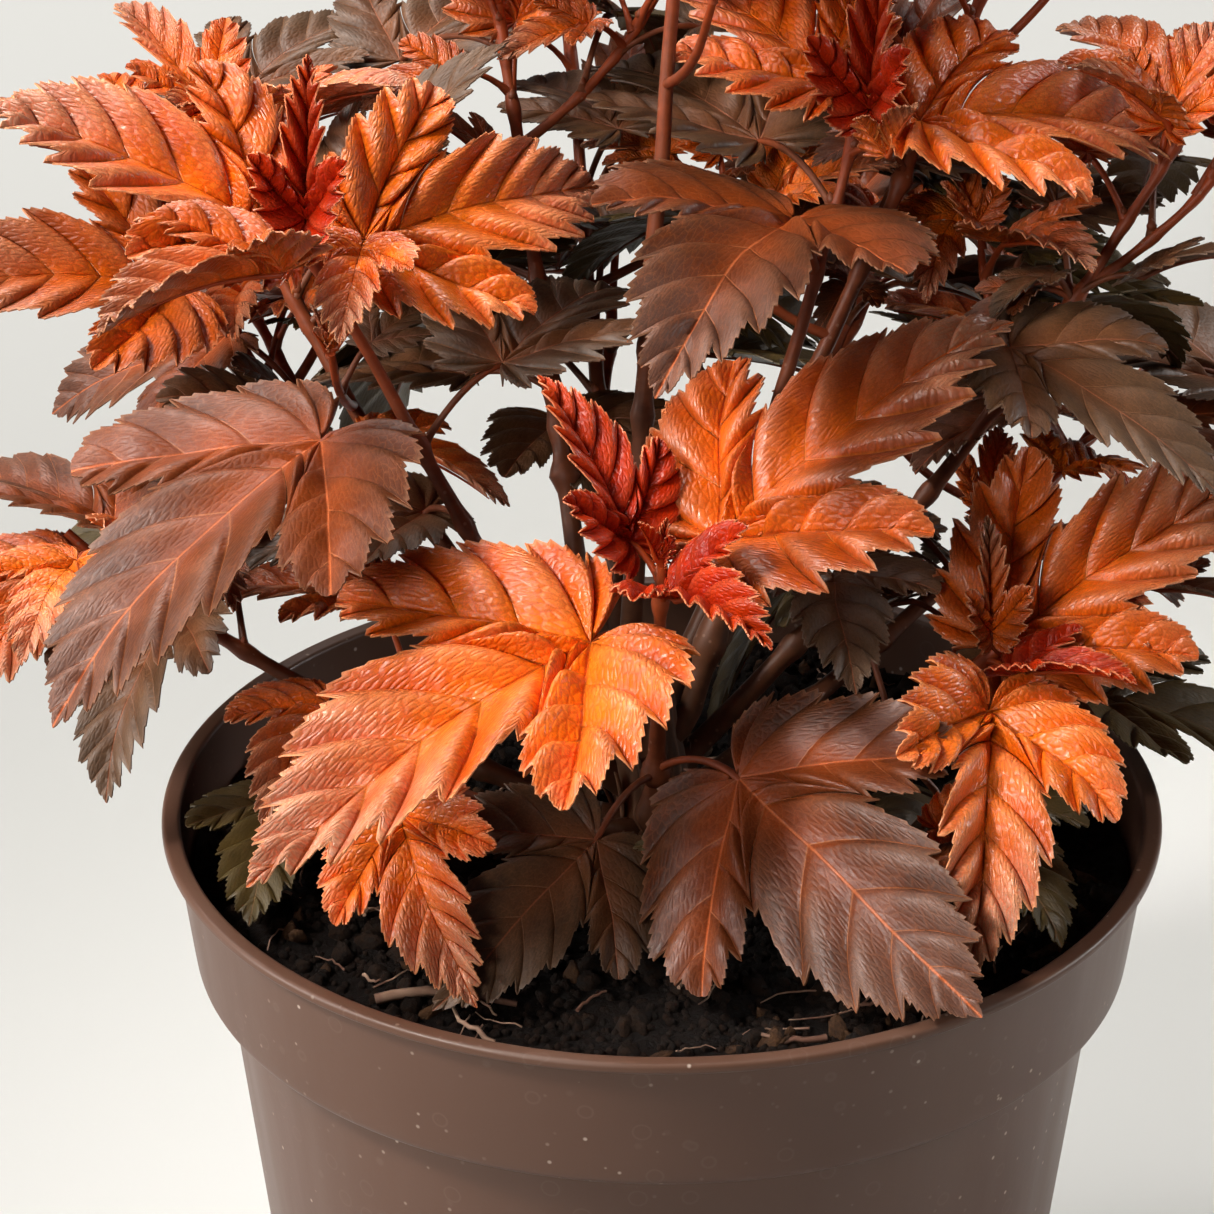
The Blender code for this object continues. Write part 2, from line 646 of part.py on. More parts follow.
def grow_twigs(stems, kept, limbs, dice):
    """Side twigs of every shoot that meet no leaf and no other limb, added to limbs as they are kept."""
    twigs = {name: [] for name in SHOOTS}
    for name, shoot in SHOOTS.items():
        for index in range(shoot.get("twigs", 0)):
            twig = side_twig(shoot, stems[name], index, dice)
            tree = solid_tree(*tube(twig["rings"], TWIG_SIDES))
            crossed = [other for owner, other in limbs if owner != name]
            crossed += [shape["blade_tree"] for shape in kept]
            if not any(tree.overlap(other) for other in crossed):
                twigs[name].append(twig)
                limbs.append((name, tree))
    return twigs


def grow_by_rule(stems, twigs, kept, limbs, dice):
    """The leaves of the rule, up each shoot and then up its side twigs, added to kept."""
    for name, shoot in SHOOTS.items():
        size, turn, count = shoot.get("size", 0) * MM, shoot.get("turn", 0), shoot["count"]
        depth = shoot.get("front", FRONT_DEPTH)
        wanted = [rule_leaf(stems[name], turn, size, k, count, dice) for k in range(count)]
        for order, twig in enumerate(twigs[name]):
            wanted += [rule_leaf(twig, turn + 50 * order, size * TWIG_LEAF, k, TWIG_LEAVES, dice)
                       for k in range(TWIG_LEAVES)]
        for leaf in wanted:
            shape = clear_leaf(leaf, name, kept, limbs, dice, depth)
            if shape:
                kept.append(shape)


def object_solid(obj):
    return [v.co.copy() for v in obj.data.vertices], [list(p.vertices) for p in obj.data.polygons]


def largest_body(obj):
    """Keeps the outer skin only: hollows that the union sealed are filled, loose scraps dropped."""
    shape = bmesh.new()
    shape.from_mesh(obj.data)
    bmesh.ops.triangulate(shape, faces=shape.faces[:])
    bodies, seen = [], set()
    for face in shape.faces:
        if face in seen:
            continue
        body, front = [], [face]
        seen.add(face)
        while front:
            current = front.pop()
            body.append(current)
            for near in {f for edge in current.edges for f in edge.link_faces} - seen:
                seen.add(near)
                front.append(near)
        bodies.append(body)
    bodies.sort(key=len)
    for body in bodies[:-1]:
        bmesh.ops.delete(shape, geom=body, context="FACES")
    shape.to_mesh(obj.data)
    shape.free()


def join_mass(name, stem, twigs, shapes):
    """One Boolean union of the stem with the collection of its twigs, petioles and blades."""
    bark = material("young_bark", (0.17, 0.045, 0.025), 0.6)
    mass = mesh_object(f"mass_{name}", *stem, bark)
    group = bpy.data.collections.new(f"{name}_leaves")
    bpy.context.scene.collection.children.link(group)
    for index, twig in enumerate(twigs):
        mesh_object(f"{name}_twig_{index}", *tube(twig["rings"], TWIG_SIDES), bark, group)
    for index, shape in enumerate(shapes):
        tint = shape["leaf"]["colour"]
        finish = material(f"leaf_{tint}", LEAF_COLOURS[tint], 0.5)
        mesh_object(f"{name}_leaf_{index}", shape["points"], shape["faces"], finish, group)
    union = mass.modifiers.new("join", "BOOLEAN")
    union.operation, union.operand_type = "UNION", "COLLECTION"
    union.collection = group
    union.solver = "MANIFOLD"
    union.material_mode = "TRANSFER"
    bake_modifiers(mass)
    for obj in list(group.objects):
        bpy.data.objects.remove(obj, do_unlink=True)
    bpy.data.collections.remove(group)
    largest_body(mass)
    return mass


def main():
    clear_scene()
    still = [make_pot(), make_soil(), make_stock()]
    limbs = [(part.name, solid_tree(*object_solid(part))) for part in still]
    bark = material("bough_bark", (0.13, 0.045, 0.028), 0.65)
    stems = {name: shoot_stem(shoot) for name, shoot in SHOOTS.items()}
    leafy = {}
    for name, stem in stems.items():
        bough = tube(stem_rings(stem, 0, stem["bare"]), BOUGH_SIDES)
        leafy[name] = tube(stem["rings"], STEM_SIDES)
        mesh_object(f"bough_{name}", *bough, bark)
        limbs += [(f"bough_{name}", solid_tree(*bough)), (name, solid_tree(*leafy[name]))]
    dice = random.Random(SEED)
    kept = grow_planned(stems, limbs, dice)
    twigs = grow_twigs(stems, kept, limbs, dice)
    grow_by_rule(stems, twigs, kept, limbs, dice)
    for name in SHOOTS:
        join_mass(name, leafy[name], twigs[name], [shape for shape in kept if shape["owner"] == name])


main()
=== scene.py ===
import json
import random
from math import cos, exp, hypot, pi, radians, sin, sqrt, tan, tau

import bmesh
import bpy
from mathutils import Matrix, Vector, noise
from mathutils.bvhtree import BVHTree

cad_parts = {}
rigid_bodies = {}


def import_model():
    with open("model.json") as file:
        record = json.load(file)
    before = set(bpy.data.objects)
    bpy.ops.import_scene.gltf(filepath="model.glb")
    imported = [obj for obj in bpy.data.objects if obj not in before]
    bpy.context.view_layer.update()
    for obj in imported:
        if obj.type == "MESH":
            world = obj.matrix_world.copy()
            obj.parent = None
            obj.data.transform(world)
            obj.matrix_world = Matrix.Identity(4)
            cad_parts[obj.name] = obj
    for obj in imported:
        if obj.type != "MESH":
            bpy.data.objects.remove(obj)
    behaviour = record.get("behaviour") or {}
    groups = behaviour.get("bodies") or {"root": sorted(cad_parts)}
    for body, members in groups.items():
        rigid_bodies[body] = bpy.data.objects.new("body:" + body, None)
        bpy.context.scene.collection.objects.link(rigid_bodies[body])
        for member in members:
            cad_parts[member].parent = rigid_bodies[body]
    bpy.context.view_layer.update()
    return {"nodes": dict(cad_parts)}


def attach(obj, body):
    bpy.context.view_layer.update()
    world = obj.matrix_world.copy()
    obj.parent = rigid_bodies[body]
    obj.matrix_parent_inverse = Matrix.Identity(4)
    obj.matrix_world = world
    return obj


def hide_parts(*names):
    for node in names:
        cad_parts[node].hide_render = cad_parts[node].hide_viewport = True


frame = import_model()
print("frame loaded,", len(frame["nodes"]), "nodes")

mm = 0.001
touchGap = 0.0003
# without a seed the noise would start from the clock, and each run would bend the leaves anew
noise.seed_set(29)


# an sRGB hex code as a linear colour
def hexToLinear(code):
    channels = [int(code[k:k + 2], 16) / 255 for k in (1, 3, 5)]
    return (*[c / 12.92 if c <= 0.04045 else ((c + 0.055) / 1.055) ** 2.4 for c in channels], 1.0)


# Adds one node with its settings and links, and hands back one of its outputs. A kind without a
# prefix is a shader node, and the inputs are a list in the sockets' order or a dictionary.
def add(tree, kind, inputs=(), out=0, **settings):
    node = tree.nodes.new(kind if "Node" in kind else "ShaderNode" + kind)
    for name, value in settings.items():
        setattr(node, name, value)
    for key, value in inputs.items() if isinstance(inputs, dict) else enumerate(inputs):
        if isinstance(value, bpy.types.NodeSocket):
            tree.links.new(value, node.inputs[key])
        else:
            node.inputs[key].default_value = value
    return node.outputs[out] if node.outputs else node


# a new material with values for its shader's sockets, whose spaces are underscores here
def newMaterial(name, roughness, **sockets):
    made = bpy.data.materials.new(name)
    made.use_nodes = True
    shader = made.node_tree.nodes["Principled BSDF"]
    shader.inputs["Roughness"].default_value = roughness
    for label, value in sockets.items():
        shader.inputs[label.replace("_", " ")].default_value = value
    return made, made.node_tree, shader


# the scale of a pattern whose features are this many millimetres wide
def perMm(size):
    return 1 / (size * mm)


# gives a colour ramp its stops, from 0 to 1
def setStops(colours, stops):
    ramp = colours.node.color_ramp
    ramp.elements[0].color, ramp.elements[-1].color = hexToLinear(stops[0][1]), hexToLinear(stops[-1][1])
    for place, code in stops[1:-1]:
        ramp.elements.new(place).color = hexToLinear(code)


# a colour times a factor
def multiplied(tree, colour, factor):
    grey = add(tree, "CombineXYZ", [factor, factor, factor])
    return add(tree, "Mix", {0: 1.0, 6: colour, 7: grey}, out=2, data_type="RGBA", blend_type="MULTIPLY")


# lays colours over the ground colour, each row a hex code and how much of it covers
def layered(tree, ground, rows):
    colour = hexToLinear(ground) if isinstance(ground, str) else ground
    for code, factor in rows:
        colour = add(tree, "Mix", {0: factor, 6: colour, 7: hexToLinear(code)}, out=2, data_type="RGBA")
    return colour


# gives a shader its colour, a relief this many millimetres deep, and its roughness if that varies
def dress(tree, shader, colour, height, deep, strength=1.0, gloss=None):
    tree.links.new(colour, shader.inputs["Base Color"])
    if gloss:
        tree.links.new(gloss, shader.inputs["Roughness"])
    bump = add(tree, "Bump", {"Height": height, "Strength": strength, "Distance": deep * mm})
    tree.links.new(bump, shader.inputs["Normal"])


# a new geometry tree with its inputs' names, kinds and values; hands back the inputs as well
def newTree(name, sizes):
    tree = bpy.data.node_groups.new(name, "GeometryNodeTree")
    tree.interface.new_socket("Geometry", in_out="INPUT", socket_type="NodeSocketGeometry")
    for label, (kind, value) in sizes.items():
        socket = tree.interface.new_socket(label, in_out="INPUT", socket_type="NodeSocket" + kind)
        if value is not None:
            socket.default_value = value
    tree.interface.new_socket("Geometry", in_out="OUTPUT", socket_type="NodeSocketGeometry")
    start = add(tree, "NodeGroupInput").node
    return tree, start.outputs


# puts the tree on the object, with a solidify modifier if asked, and keeps the mesh that comes out
def bakeTree(obj, tree, values, solid=None):
    linkToScene(obj)
    grow = obj.modifiers.new(tree.name, "NODES")
    grow.node_group = tree
    for item in tree.interface.items_tree:
        if item.in_out == "INPUT" and item.name in values:
            grow[item.identifier] = values[item.name]
    if solid:
        skin = obj.modifiers.new("thickness", "SOLIDIFY")
        for name, value in solid.items():
            setattr(skin, name, value)
    bakeModifiers(obj)
    return obj


# keeps the plain mesh that the object's modifiers make of it
def bakeModifiers(obj):
    bpy.context.view_layer.update()
    evaluated = obj.evaluated_get(bpy.context.evaluated_depsgraph_get())
    baked = bpy.data.meshes.new_from_object(evaluated)
    obj.modifiers.clear()
    obj.data = baked


def linkToScene(obj):
    bpy.context.scene.collection.objects.link(obj)


# a mesh object that is not in the scene yet
def sceneMesh(name, points, faces, finish=None):
    mesh = bpy.data.meshes.new(name)
    mesh.from_pydata(points, [], faces)
    if finish:
        mesh.materials.append(finish)
    return bpy.data.objects.new(name, mesh)


# takes away the templates once the tree that set them out is baked
def dropTemplates(group):
    for obj in list(group.objects):
        bpy.data.objects.remove(obj)
    bpy.data.collections.remove(group)


def pointLayer(mesh, name, values, kind="FLOAT"):
    layer = mesh.attributes.new(name, kind, "POINT")
    if kind == "FLOAT_VECTOR":
        layer.data.foreach_set("vector", [part for row in values for part in row])
    else:
        layer.data.foreach_set("value", values)


# drops the material slots that no face uses
def keepUsedSlots(obj):
    used = sorted({face.material_index for face in obj.data.polygons})
    kept = [obj.data.materials[index] for index in used]
    places = [used.index(face.material_index) for face in obj.data.polygons]
    obj.data.materials.clear()
    for finish in kept:
        obj.data.materials.append(finish)
    obj.data.polygons.foreach_set("material_index", places)


# a finished piece rides on the body root and stands in for the CAD nodes that it is named with
def placePiece(obj, nodes):
    keepUsedSlots(obj)
    obj.data.update()
    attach(obj, "root")
    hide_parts(*nodes)


# the sizes and the plan of the plant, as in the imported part

potForm = dict(height=0.150, rimRadius=0.095, collarHeight=0.0291, collarFootRadius=0.0895,
               bodyTopRadius=0.0839, bodyFootRadius=0.0693, wall=0.0016, floor=0.0020, lipDrop=0.0018,
               lipWidth=0.0036, lipOverhang=0.0023, segments=192, drainHoles=6, drainRadius=0.0045,
               drainCircle=0.050, soilDrop=0.012)
potHeight = potForm["height"]
soilTop = potHeight - potForm["soilDrop"]

stockForm = dict(height=0.036, flare=0.0125, flareFade=0.004, radius=0.0078, tip=0.0060, lean=0.004,
                 tiers={"low": 0.010, "middle": 0.020, "high": 0.029})

# a petiole has its full radius on a leaf of fullLeaf and is thinner on a smaller one
limbForm = dict(foot=0.0023, footDrop=0.003, tip=0.0009, taper=0.8, step=0.014, boughSides=7, stemSides=5,
                twigSides=3, twigRadius=0.0011, petioleRadius=0.0008, petioleArch=0.12,
                petioleShortest=0.006, petioleGrowth=(0.75, 0.35), fullLeaf=0.07)

# the leaf's outline and vein points, in shares of its length: distance from the base, angle
leafForm = dict(tip=1.0, edge=[(0.66, 16), (0.41, 30), (0.57, 50), (0.43, 76), (0.25, 128)],
                veins=[(0.46, 0), (0.30, 50), (0.30, -50)], thickness=0.017)

ruleForm = dict(spiral=137.5, seed=29, tries=20, crowding=0.85, leafZone=(0.05, 0.94), ageSpread=0.12,
                nudgeTurn=38, nudgeTilt=24, nudgeOut=0.009, nudgeShrink=0.35)

# A rule leaf's measures: the value at its stem's lowest node, what it gains up to the tip, and the
# power of the height that the gain follows. Length and reach are shares, the rest is in degrees.
leafRule = dict(length=(1.05, -0.62, 2.2), rise=(-14, 58, 1.5), climb=(34, 34, 1),
                reach=(0.42, -0.14, 1), fold=(12, 20, 1), droop=(42, -14, 1))
leafScatter = dict(length=(0.88, 1.10), bearing=14, rise=9, roll=16)

# where a planned leaf's petiole springs: drop is how far under the blade's base, in blade lengths
nodeForm = dict(drop=0.16, first=0.02, last=0.97, marks=40)

# side twigs: start and last place them on the shoot, turn and leafTurn are their bearings in
# degrees, and bare is a twig's share without leaves
twigForm = dict(start=0.4, last=0.88, turn=65, scatter=12, length=0.62, stretch=(0.8, 1.2), lift=0.45,
                bare=0.35, taper=0.7, leaves=4, leafShare=0.80, leafTurn=50)

# the space that the leaves keep to, and the sloping plane that keeps the rule's leaves behind
# the planned ones at the front
crownForm = dict(lowest=0.004, radius=0.168, back=0.020, top=0.232,
                 frontDepth=-0.012, frontTilt=27, frontTop=0.165, frontFall=0.39)
openFront = -1.0    # metres: a front plane that no leaf reaches

# the age, from 0 at a shoot's tip to 1 at its lowest leaf, up to which a leaf has each colour
colourAges = {"red": 0.06, "orange": 0.24, "copper": 0.40, "bronze": 0.58, "purple": 0.85}

# One entry for each shoot. tip is in millimetres: right, back, and up from the rim. foot is the
# bearing and the tier on the stock. sweep bends the shoot outwards, bare is its share without
# leaves, count, size (mm) and turn drive the rule for its leaves, front is how far forward they
# may stand (m), and twigs is how many side twigs it tries to bear. A row of leaves holds, in
# millimetres and degrees: blade base, bearing, rise, roll, length, fold, droop and colour.
shoots = {
    "front": dict(tip=(0, -19, 60), foot=(268, "low"), sweep=0.0, bare=0.22, count=0, leaves=[
        (10, -14, 63, 27, 38, 12, 70, 8, 27, "copper"),
        (-13, -32, 51, 217, -7, -12, 78, 15, 30, "orange"),
        (14, -32, 23, 300, -8, 40, 71, 4, 24, "bronze"),
        (-5, -16, 63, 152, 65, 0, 38, 22, 23, "red"),
        (2, -26, 57, 293, 30, 20, 36, 42, 45, "red"),
        (-12, -34, 11, 234, -14, -34, 46, 5, 24, "purple"),
    ]),
    "left": dict(tip=(-66, 13, 110), foot=(184, "middle"), sweep=0.0, bare=0.45, count=0, leaves=[
        (-73, 12, 113, 190, 40, -30, 57, 16, 34, "orange"),
        (-69, -7, 113, 219, 14, 10, 42, 40, 30, "copper"),
        (-55, 12, 111, 28, 6, 41, 56, 16, 32, "orange"),
        (-55, 4, 113, 262, 0, 0, 27, 20, 35, "orange"),
        (-65, 3, 119, 80, 80, 0, 30, 52, 12, "red"),
        (-63, -2, 77, 226, -10, 0, 76, 8, 34, "bronze"),
        (-60, 42, 101, 28, 58, -2, 46, 13, 30, "purple"),
        (-45, 19, 52, 200, 6, 0, 44, 14, 32, "purple"),
        (-30, 15, 85, 62, 12, 0, 48, 14, 34, "purple"),
    ]),
    "upper_right": dict(tip=(36, 40, 122), foot=(24, "high"), sweep=0.0, bare=0.5, count=0, leaves=[
        (30, 40, 131, 129, 22, -8, 50, 12, 30, "orange"),
        (38, 37, 127, 70, 80, 0, 32, 50, 14, "red"),
        (46, 36, 125, 16, 2, 12, 65, 14, 33, "orange"),
        (24, 20, 112, 251, 14, -5, 70, 13, 38, "bronze"),
        (39, 35, 121, 300, 60, 0, 20, 45, 20, "copper"),
        (18, 60, 111, 126, 13, 0, 55, 14, 34, "purple"),
    ]),
    "right": dict(tip=(62, -10, 38), foot=(338, "low"), sweep=0.10, bare=0.5, count=0, leaves=[
        (64, -4, 37, 22, 31, 38, 60, 24, 24, "copper"),
        (60, -26, 34, 272, -15, -22, 54, 27, 47, "orange"),
        (64, -15, 36, 338, 24, 0, 27, 30, 30, "red"),
        (61, -8, 41, 100, 76, 0, 22, 55, 10, "copper"),
        (51, -6, 6, 278, -2, 0, 54, 14, 30, "olive"),
        (32, 12, 43, 273, 12, 0, 42, 14, 34, "purple"),
    ]),
    "low_left": dict(tip=(-114, 28, 43), foot=(186, "low"), sweep=0.14, bare=0.55, front=-1.0,
                     count=8, size=46, turn=100, twigs=1, leaves=[
        (-111, 26, 37, 250, 4, 0, 44, 14, 35, "copper"),
    ]),
    "low_front_left": dict(tip=(-50, -30, 26), foot=(226, "low"), sweep=0.12, bare=0.4, count=0, leaves=[
        (-48, -38, 19, 273, -30, 31, 42, 16, 37, "orange"),
        (-62, -13, 28, 250, 2, 0, 34, 14, 35, "copper"),
        (-71, -4, 2, 259, 5, 0, 36, 14, 35, "olive"),
        (-54, 14, 36, 168, 10, 0, 36, 14, 35, "copper"),
    ]),
    "low_front_right": dict(tip=(48, -34, 6), foot=(308, "low"), sweep=0.15, bare=0.5, front=-1.0,
                            count=5, size=46, turn=20),
    "far_right": dict(tip=(97, 50, 116), foot=(36, "middle"), sweep=0.08, bare=0.55, front=-0.03,
                      count=10, size=54, turn=40, twigs=2, leaves=[
        (63, 24, 85, 324, -6, 0, 54, 12, 28, "purple"),
        (99, 80, 114, 122, 15, 0, 40, 14, 34, "copper"),
    ]),
    "low_right": dict(tip=(88, 26, 32), foot=(2, "low"), sweep=0.12, bare=0.4, front=-0.03,
                      count=10, size=54, turn=15, twigs=2, leaves=[
        (82, 25, 11, 350, -6, 0, 52, 14, 34, "olive"),
    ]),
    "back_left": dict(tip=(-88, 68, 112), foot=(150, "middle"), sweep=0.12, bare=0.5,
                      count=12, size=54, turn=200, twigs=2, leaves=[
        (-94, 62, 79, 205, 20, -40, 52, 18, 34, "copper"),
        (-82, 90, 109, 56, 20, 0, 40, 14, 34, "purple"),
    ]),
    "back_upper_left": dict(tip=(-34, 82, 142), foot=(160, "high"), sweep=0.0, bare=0.4,
                            count=15, size=60, turn=60, twigs=2, leaves=[
        (-43, 60, 83, 56, 14, 0, 44, 14, 34, "olive"),
        (-37, 42, 70, 133, -7, 0, 52, 14, 34, "purple"),
        (-52, 95, 113, 60, 18, 0, 46, 14, 34, "purple"),
    ]),
    "crown": dict(tip=(6, 58, 196), foot=(112, "high"), sweep=-0.10, bare=0.35,
                  count=18, size=66, turn=310, twigs=3),
    "back_upper_right": dict(tip=(68, 88, 146), foot=(66, "high"), sweep=0.0, bare=0.4,
                             count=16, size=62, turn=130, twigs=3, leaves=[
        (51, 75, 96, 51, -9, 0, 40, 14, 34, "olive"),
    ]),
    "back": dict(tip=(-20, 124, 118), foot=(112, "middle"), sweep=0.05, bare=0.35,
                 count=20, size=62, turn=20, twigs=3, leaves=[
        (-9, 80, 105, 123, 11, 0, 40, 14, 34, "purple"),
        (-20, 53, 55, 297, 5, 0, 46, 14, 34, "purple"),
    ]),
    "back_right": dict(tip=(48, 118, 84), foot=(74, "middle"), sweep=0.10, bare=0.4,
                       count=18, size=60, turn=75, twigs=3),
    "low_back_left": dict(tip=(-86, 96, 66), foot=(130, "low"), sweep=0.14, bare=0.45,
                          count=14, size=58, turn=170, twigs=3),
    "low_back_right": dict(tip=(96, 84, 52), foot=(52, "low"), sweep=0.12, bare=0.45,
                           count=16, size=58, turn=220, twigs=3, leaves=[
        (114, 75, 53, 123, 12, 0, 52, 14, 34, "purple"),
    ]),
}


# the growth rule

# where the stock's axis is, this far above the soil: it leans a little to the left
def stockAxis(height):
    return Vector((-stockForm["lean"] * height / stockForm["height"], 0, soilTop + height))


def stockRadius(height):
    form = stockForm
    flare = (form["flare"] - form["radius"]) * exp(-height / form["flareFade"])
    return flare + form["radius"] + (form["tip"] - form["radius"]) * height / form["height"]


# points and faces of a closed tube through rings of (centre, radius)
def limbTube(rings, sides):
    aside = Vector((0.31, 0.95, 0.05))    # a direction that no limb runs along
    centres = [centre for centre, _ in rings]
    points = []
    for index, (centre, radius) in enumerate(rings):
        ahead = centres[min(index + 1, len(rings) - 1)] - centres[max(index - 1, 0)]
        forward = ahead.normalized()
        across = forward.cross(aside).normalized()
        over = forward.cross(across)
        for k in range(sides):
            angle = tau * k / sides
            points.append(centre + (across * cos(angle) + over * sin(angle)) * radius)
    loops = [list(range(first, first + sides)) for first in range(0, len(points), sides)]
    return points, ringFaces(loops, sides) + [loops[0][::-1], loops[-1]]


# faces between rings of point numbers, where a ring of one point closes an end
def ringFaces(rings, segments):
    faces = []
    for low, high in zip(rings, rings[1:]):
        for k in range(segments):
            below = [low[k % len(low)], low[(k + 1) % len(low)]]
            above = [high[(k + 1) % len(high)], high[k % len(high)]]
            faces.append(list(dict.fromkeys(below + above)))
    return faces


def tipPoint(shoot):
    right, back, up = shoot["tip"]
    return Vector((right * mm, back * mm, potHeight + up * mm))


def footPoint(shoot):
    bearing, tier = shoot["foot"]
    height = stockForm["tiers"][tier]
    out = stockRadius(height - limbForm["footDrop"]) + limbForm["foot"] + touchGap
    turn = radians(bearing)
    return stockAxis(height) + Vector((cos(turn), sin(turn), 0)) * out


# a shoot from the stock: its bough runs up to bare, and its leafy stem goes on from there
def shootStem(shoot):
    foot, tip = footPoint(shoot), tipPoint(shoot)
    span = tip - foot
    level, rise = 0.5 + shoot["sweep"], 0.5 - shoot["sweep"]
    bend = foot + Vector((span.x * level, span.y * level, span.z * rise))
    stem = dict(foot=foot, bend=bend, tip=tip, bare=shoot["bare"],
                radii=(limbForm["foot"], limbForm["tip"]))
    stem["start"] = stem["bare"] + touchGap / span.length
    stem["rings"] = stemRings(stem, stem["start"], 1)
    return stem


# the point at share t of the arc that leaves start and reaches end in the directions of bend
def arcPoint(start, bend, end, t):
    return start * (1 - t) ** 2 + bend * 2 * t * (1 - t) + end * t ** 2


def curvePoint(stem, share):
    return arcPoint(stem["foot"], stem["bend"], stem["tip"], share)


def curveRadius(stem, share):
    thick, thin = stem["radii"]
    return thick + (thin - thick) * share ** limbForm["taper"]


def stemRings(stem, start, end):
    length = (stem["tip"] - stem["foot"]).length
    steps = max(2, round(length * (end - start) / limbForm["step"]))
    shares = [start + (end - start) * step / steps for step in range(steps + 1)]
    return [(curvePoint(stem, share), curveRadius(stem, share)) for share in shares]


# the point at this share on the straight runs between a leafy stem's rings
def stemPoint(stem, share):
    rings = stem["rings"]
    place = (share - stem["start"]) / (1 - stem["start"]) * (len(rings) - 1)
    low = min(int(place), len(rings) - 2)
    return rings[low][0].lerp(rings[low + 1][0], place - low)


# the unit vector towards a bearing that climbs at an angle, both in radians
def outward(bearing, climb):
    level = cos(climb)
    return Vector((cos(bearing) * level, sin(bearing) * level, sin(climb)))


def sideTwig(shoot, stem, index, dice):
    form = twigForm
    share = stem["bare"] + (form["last"] - stem["bare"]) * (index + form["start"]) / shoot["twigs"]
    turn = shoot["turn"] + form["turn"] + ruleForm["spiral"] * 2 * index
    bearing = radians(turn + dice.uniform(-form["scatter"], form["scatter"]))
    length = shoot["size"] * mm * form["length"] * dice.uniform(*form["stretch"])
    foot = stemPoint(stem, share)
    out = Vector((cos(bearing), sin(bearing), form["lift"])).normalized()
    bend = foot + out * length * 0.5
    tip = bend + (out + Vector((0, 0, 1.0))).normalized() * length * 0.5
    thick = limbForm["twigRadius"]
    twig = dict(foot=foot, bend=bend, tip=tip, bare=form["bare"], start=0,
                radii=(thick, thick * form["taper"]))
    twig["rings"] = stemRings(twig, 0, 1)
    return twig


# a point of the flat unit blade after its halves fold up and its rib arches down
def bentPoint(along, across, fold, droop):
    turn = droop * along
    rib = Vector((sin(turn) / droop, 0, (cos(turn) - 1) / droop))
    upward = Vector((sin(turn), 0, cos(turn)))
    return rib + Vector((0, across * cos(fold), 0)) + upward * abs(across) * sin(fold)


def bladeFrame(leaf):
    turn = Matrix.Rotation(radians(leaf["bearing"]), 4, "Z")
    turn = turn @ Matrix.Rotation(radians(-leaf["rise"]), 4, "Y")
    turn = turn @ Matrix.Rotation(radians(leaf["roll"]), 4, "X")
    return Matrix.Translation(leaf["base"]) @ turn @ Matrix.Scale(leaf["length"], 4)


def onBlade(leaf, along, across, off=0.0):
    fold, droop = radians(leaf["fold"]), radians(leaf["droop"])
    turn = droop * along
    point = bentPoint(along, across, fold, droop) + Vector((sin(turn), 0, cos(turn))) * off
    return bladeFrame(leaf) @ point


def polar(share, angle):
    turn = radians(angle)
    return share * cos(turn), share * sin(turn)


def petioleRing(centre, forward, left, radius):
    across = (left - forward * left.dot(forward)).normalized()
    over = forward.cross(across)
    return [centre + way * radius for way in (across, over, -across, -over)]


def petioleRadius(leaf):
    least, gain = limbForm["petioleGrowth"]
    return limbForm["petioleRadius"] * (least + gain * leaf["length"] / limbForm["fullLeaf"])


def petioleRings(leaf):
    start, base = leaf["node"], leaf["base"]
    reach = (base - start).length
    turn = bladeFrame(leaf).to_3x3().normalized()
    ahead, left = turn.col[0], turn.col[1]
    bend = start.lerp(base, 0.5) + Vector((0, 0, limbForm["petioleArch"] * reach))
    radius = petioleRadius(leaf)
    rings = petioleRing(start, (bend - start).normalized(), left, radius)
    if reach > limbForm["petioleShortest"]:
        rings += petioleRing(bend, (base - start).normalized(), left, radius)
    return rings + petioleRing(base, ahead, left, radius)


# the part's faceted leaf, which the tests for contact use: points, petiole faces, blade faces
def leafSolid(leaf):
    points = petioleRings(leaf)
    last = len(points)
    loops = [range(first, first + 4) for first in range(0, last, 4)]
    petiole = [[3, 2, 1, 0]] + ringFaces(loops, 4)
    half = [polar(share, angle) for share, angle in leafForm["edge"]]
    edge = [(x, -y) for x, y in reversed(half)] + [(leafForm["tip"], 0.0)] + half
    points += [onBlade(leaf, x, y) for x, y in edge]
    veins = [polar(share, angle) for share, angle in leafForm["veins"]]
    for side in (1, -1):
        points += [onBlade(leaf, x, y, side * leafForm["thickness"] / 2) for x, y in veins]
    rim = [last + k for k in range(len(edge))]
    upper = solidFaces(rim, last - 4, last - 3, last - 2, last + len(edge))
    lower = solidFaces(rim, last - 4, last - 1, last - 2, last + len(edge) + 3)
    return points, petiole, upper + [face[::-1] for face in lower]


def solidFaces(rim, leftRoot, root, rightRoot, veins):
    rib, left, right = veins, veins + 1, veins + 2
    tip, end = len(rim) // 2, len(rim) - 1
    faces = [[rightRoot, rim[0], right], [rightRoot, right, root], [root, right, rib]]
    faces += [[root, rib, left], [root, left, leftRoot], [leftRoot, left, rim[end]]]
    faces += [[rim[k], rim[k + 1], right] for k in range(tip - 2)]
    faces += [[rim[tip - 2], rib, right], [rim[tip + 2], left, rib]]
    faces += [[rim[k], rim[k + 1], rib] for k in range(tip - 2, tip + 2)]
    faces += [[rim[k], rim[k + 1], left] for k in range(tip + 2, end)]
    return faces


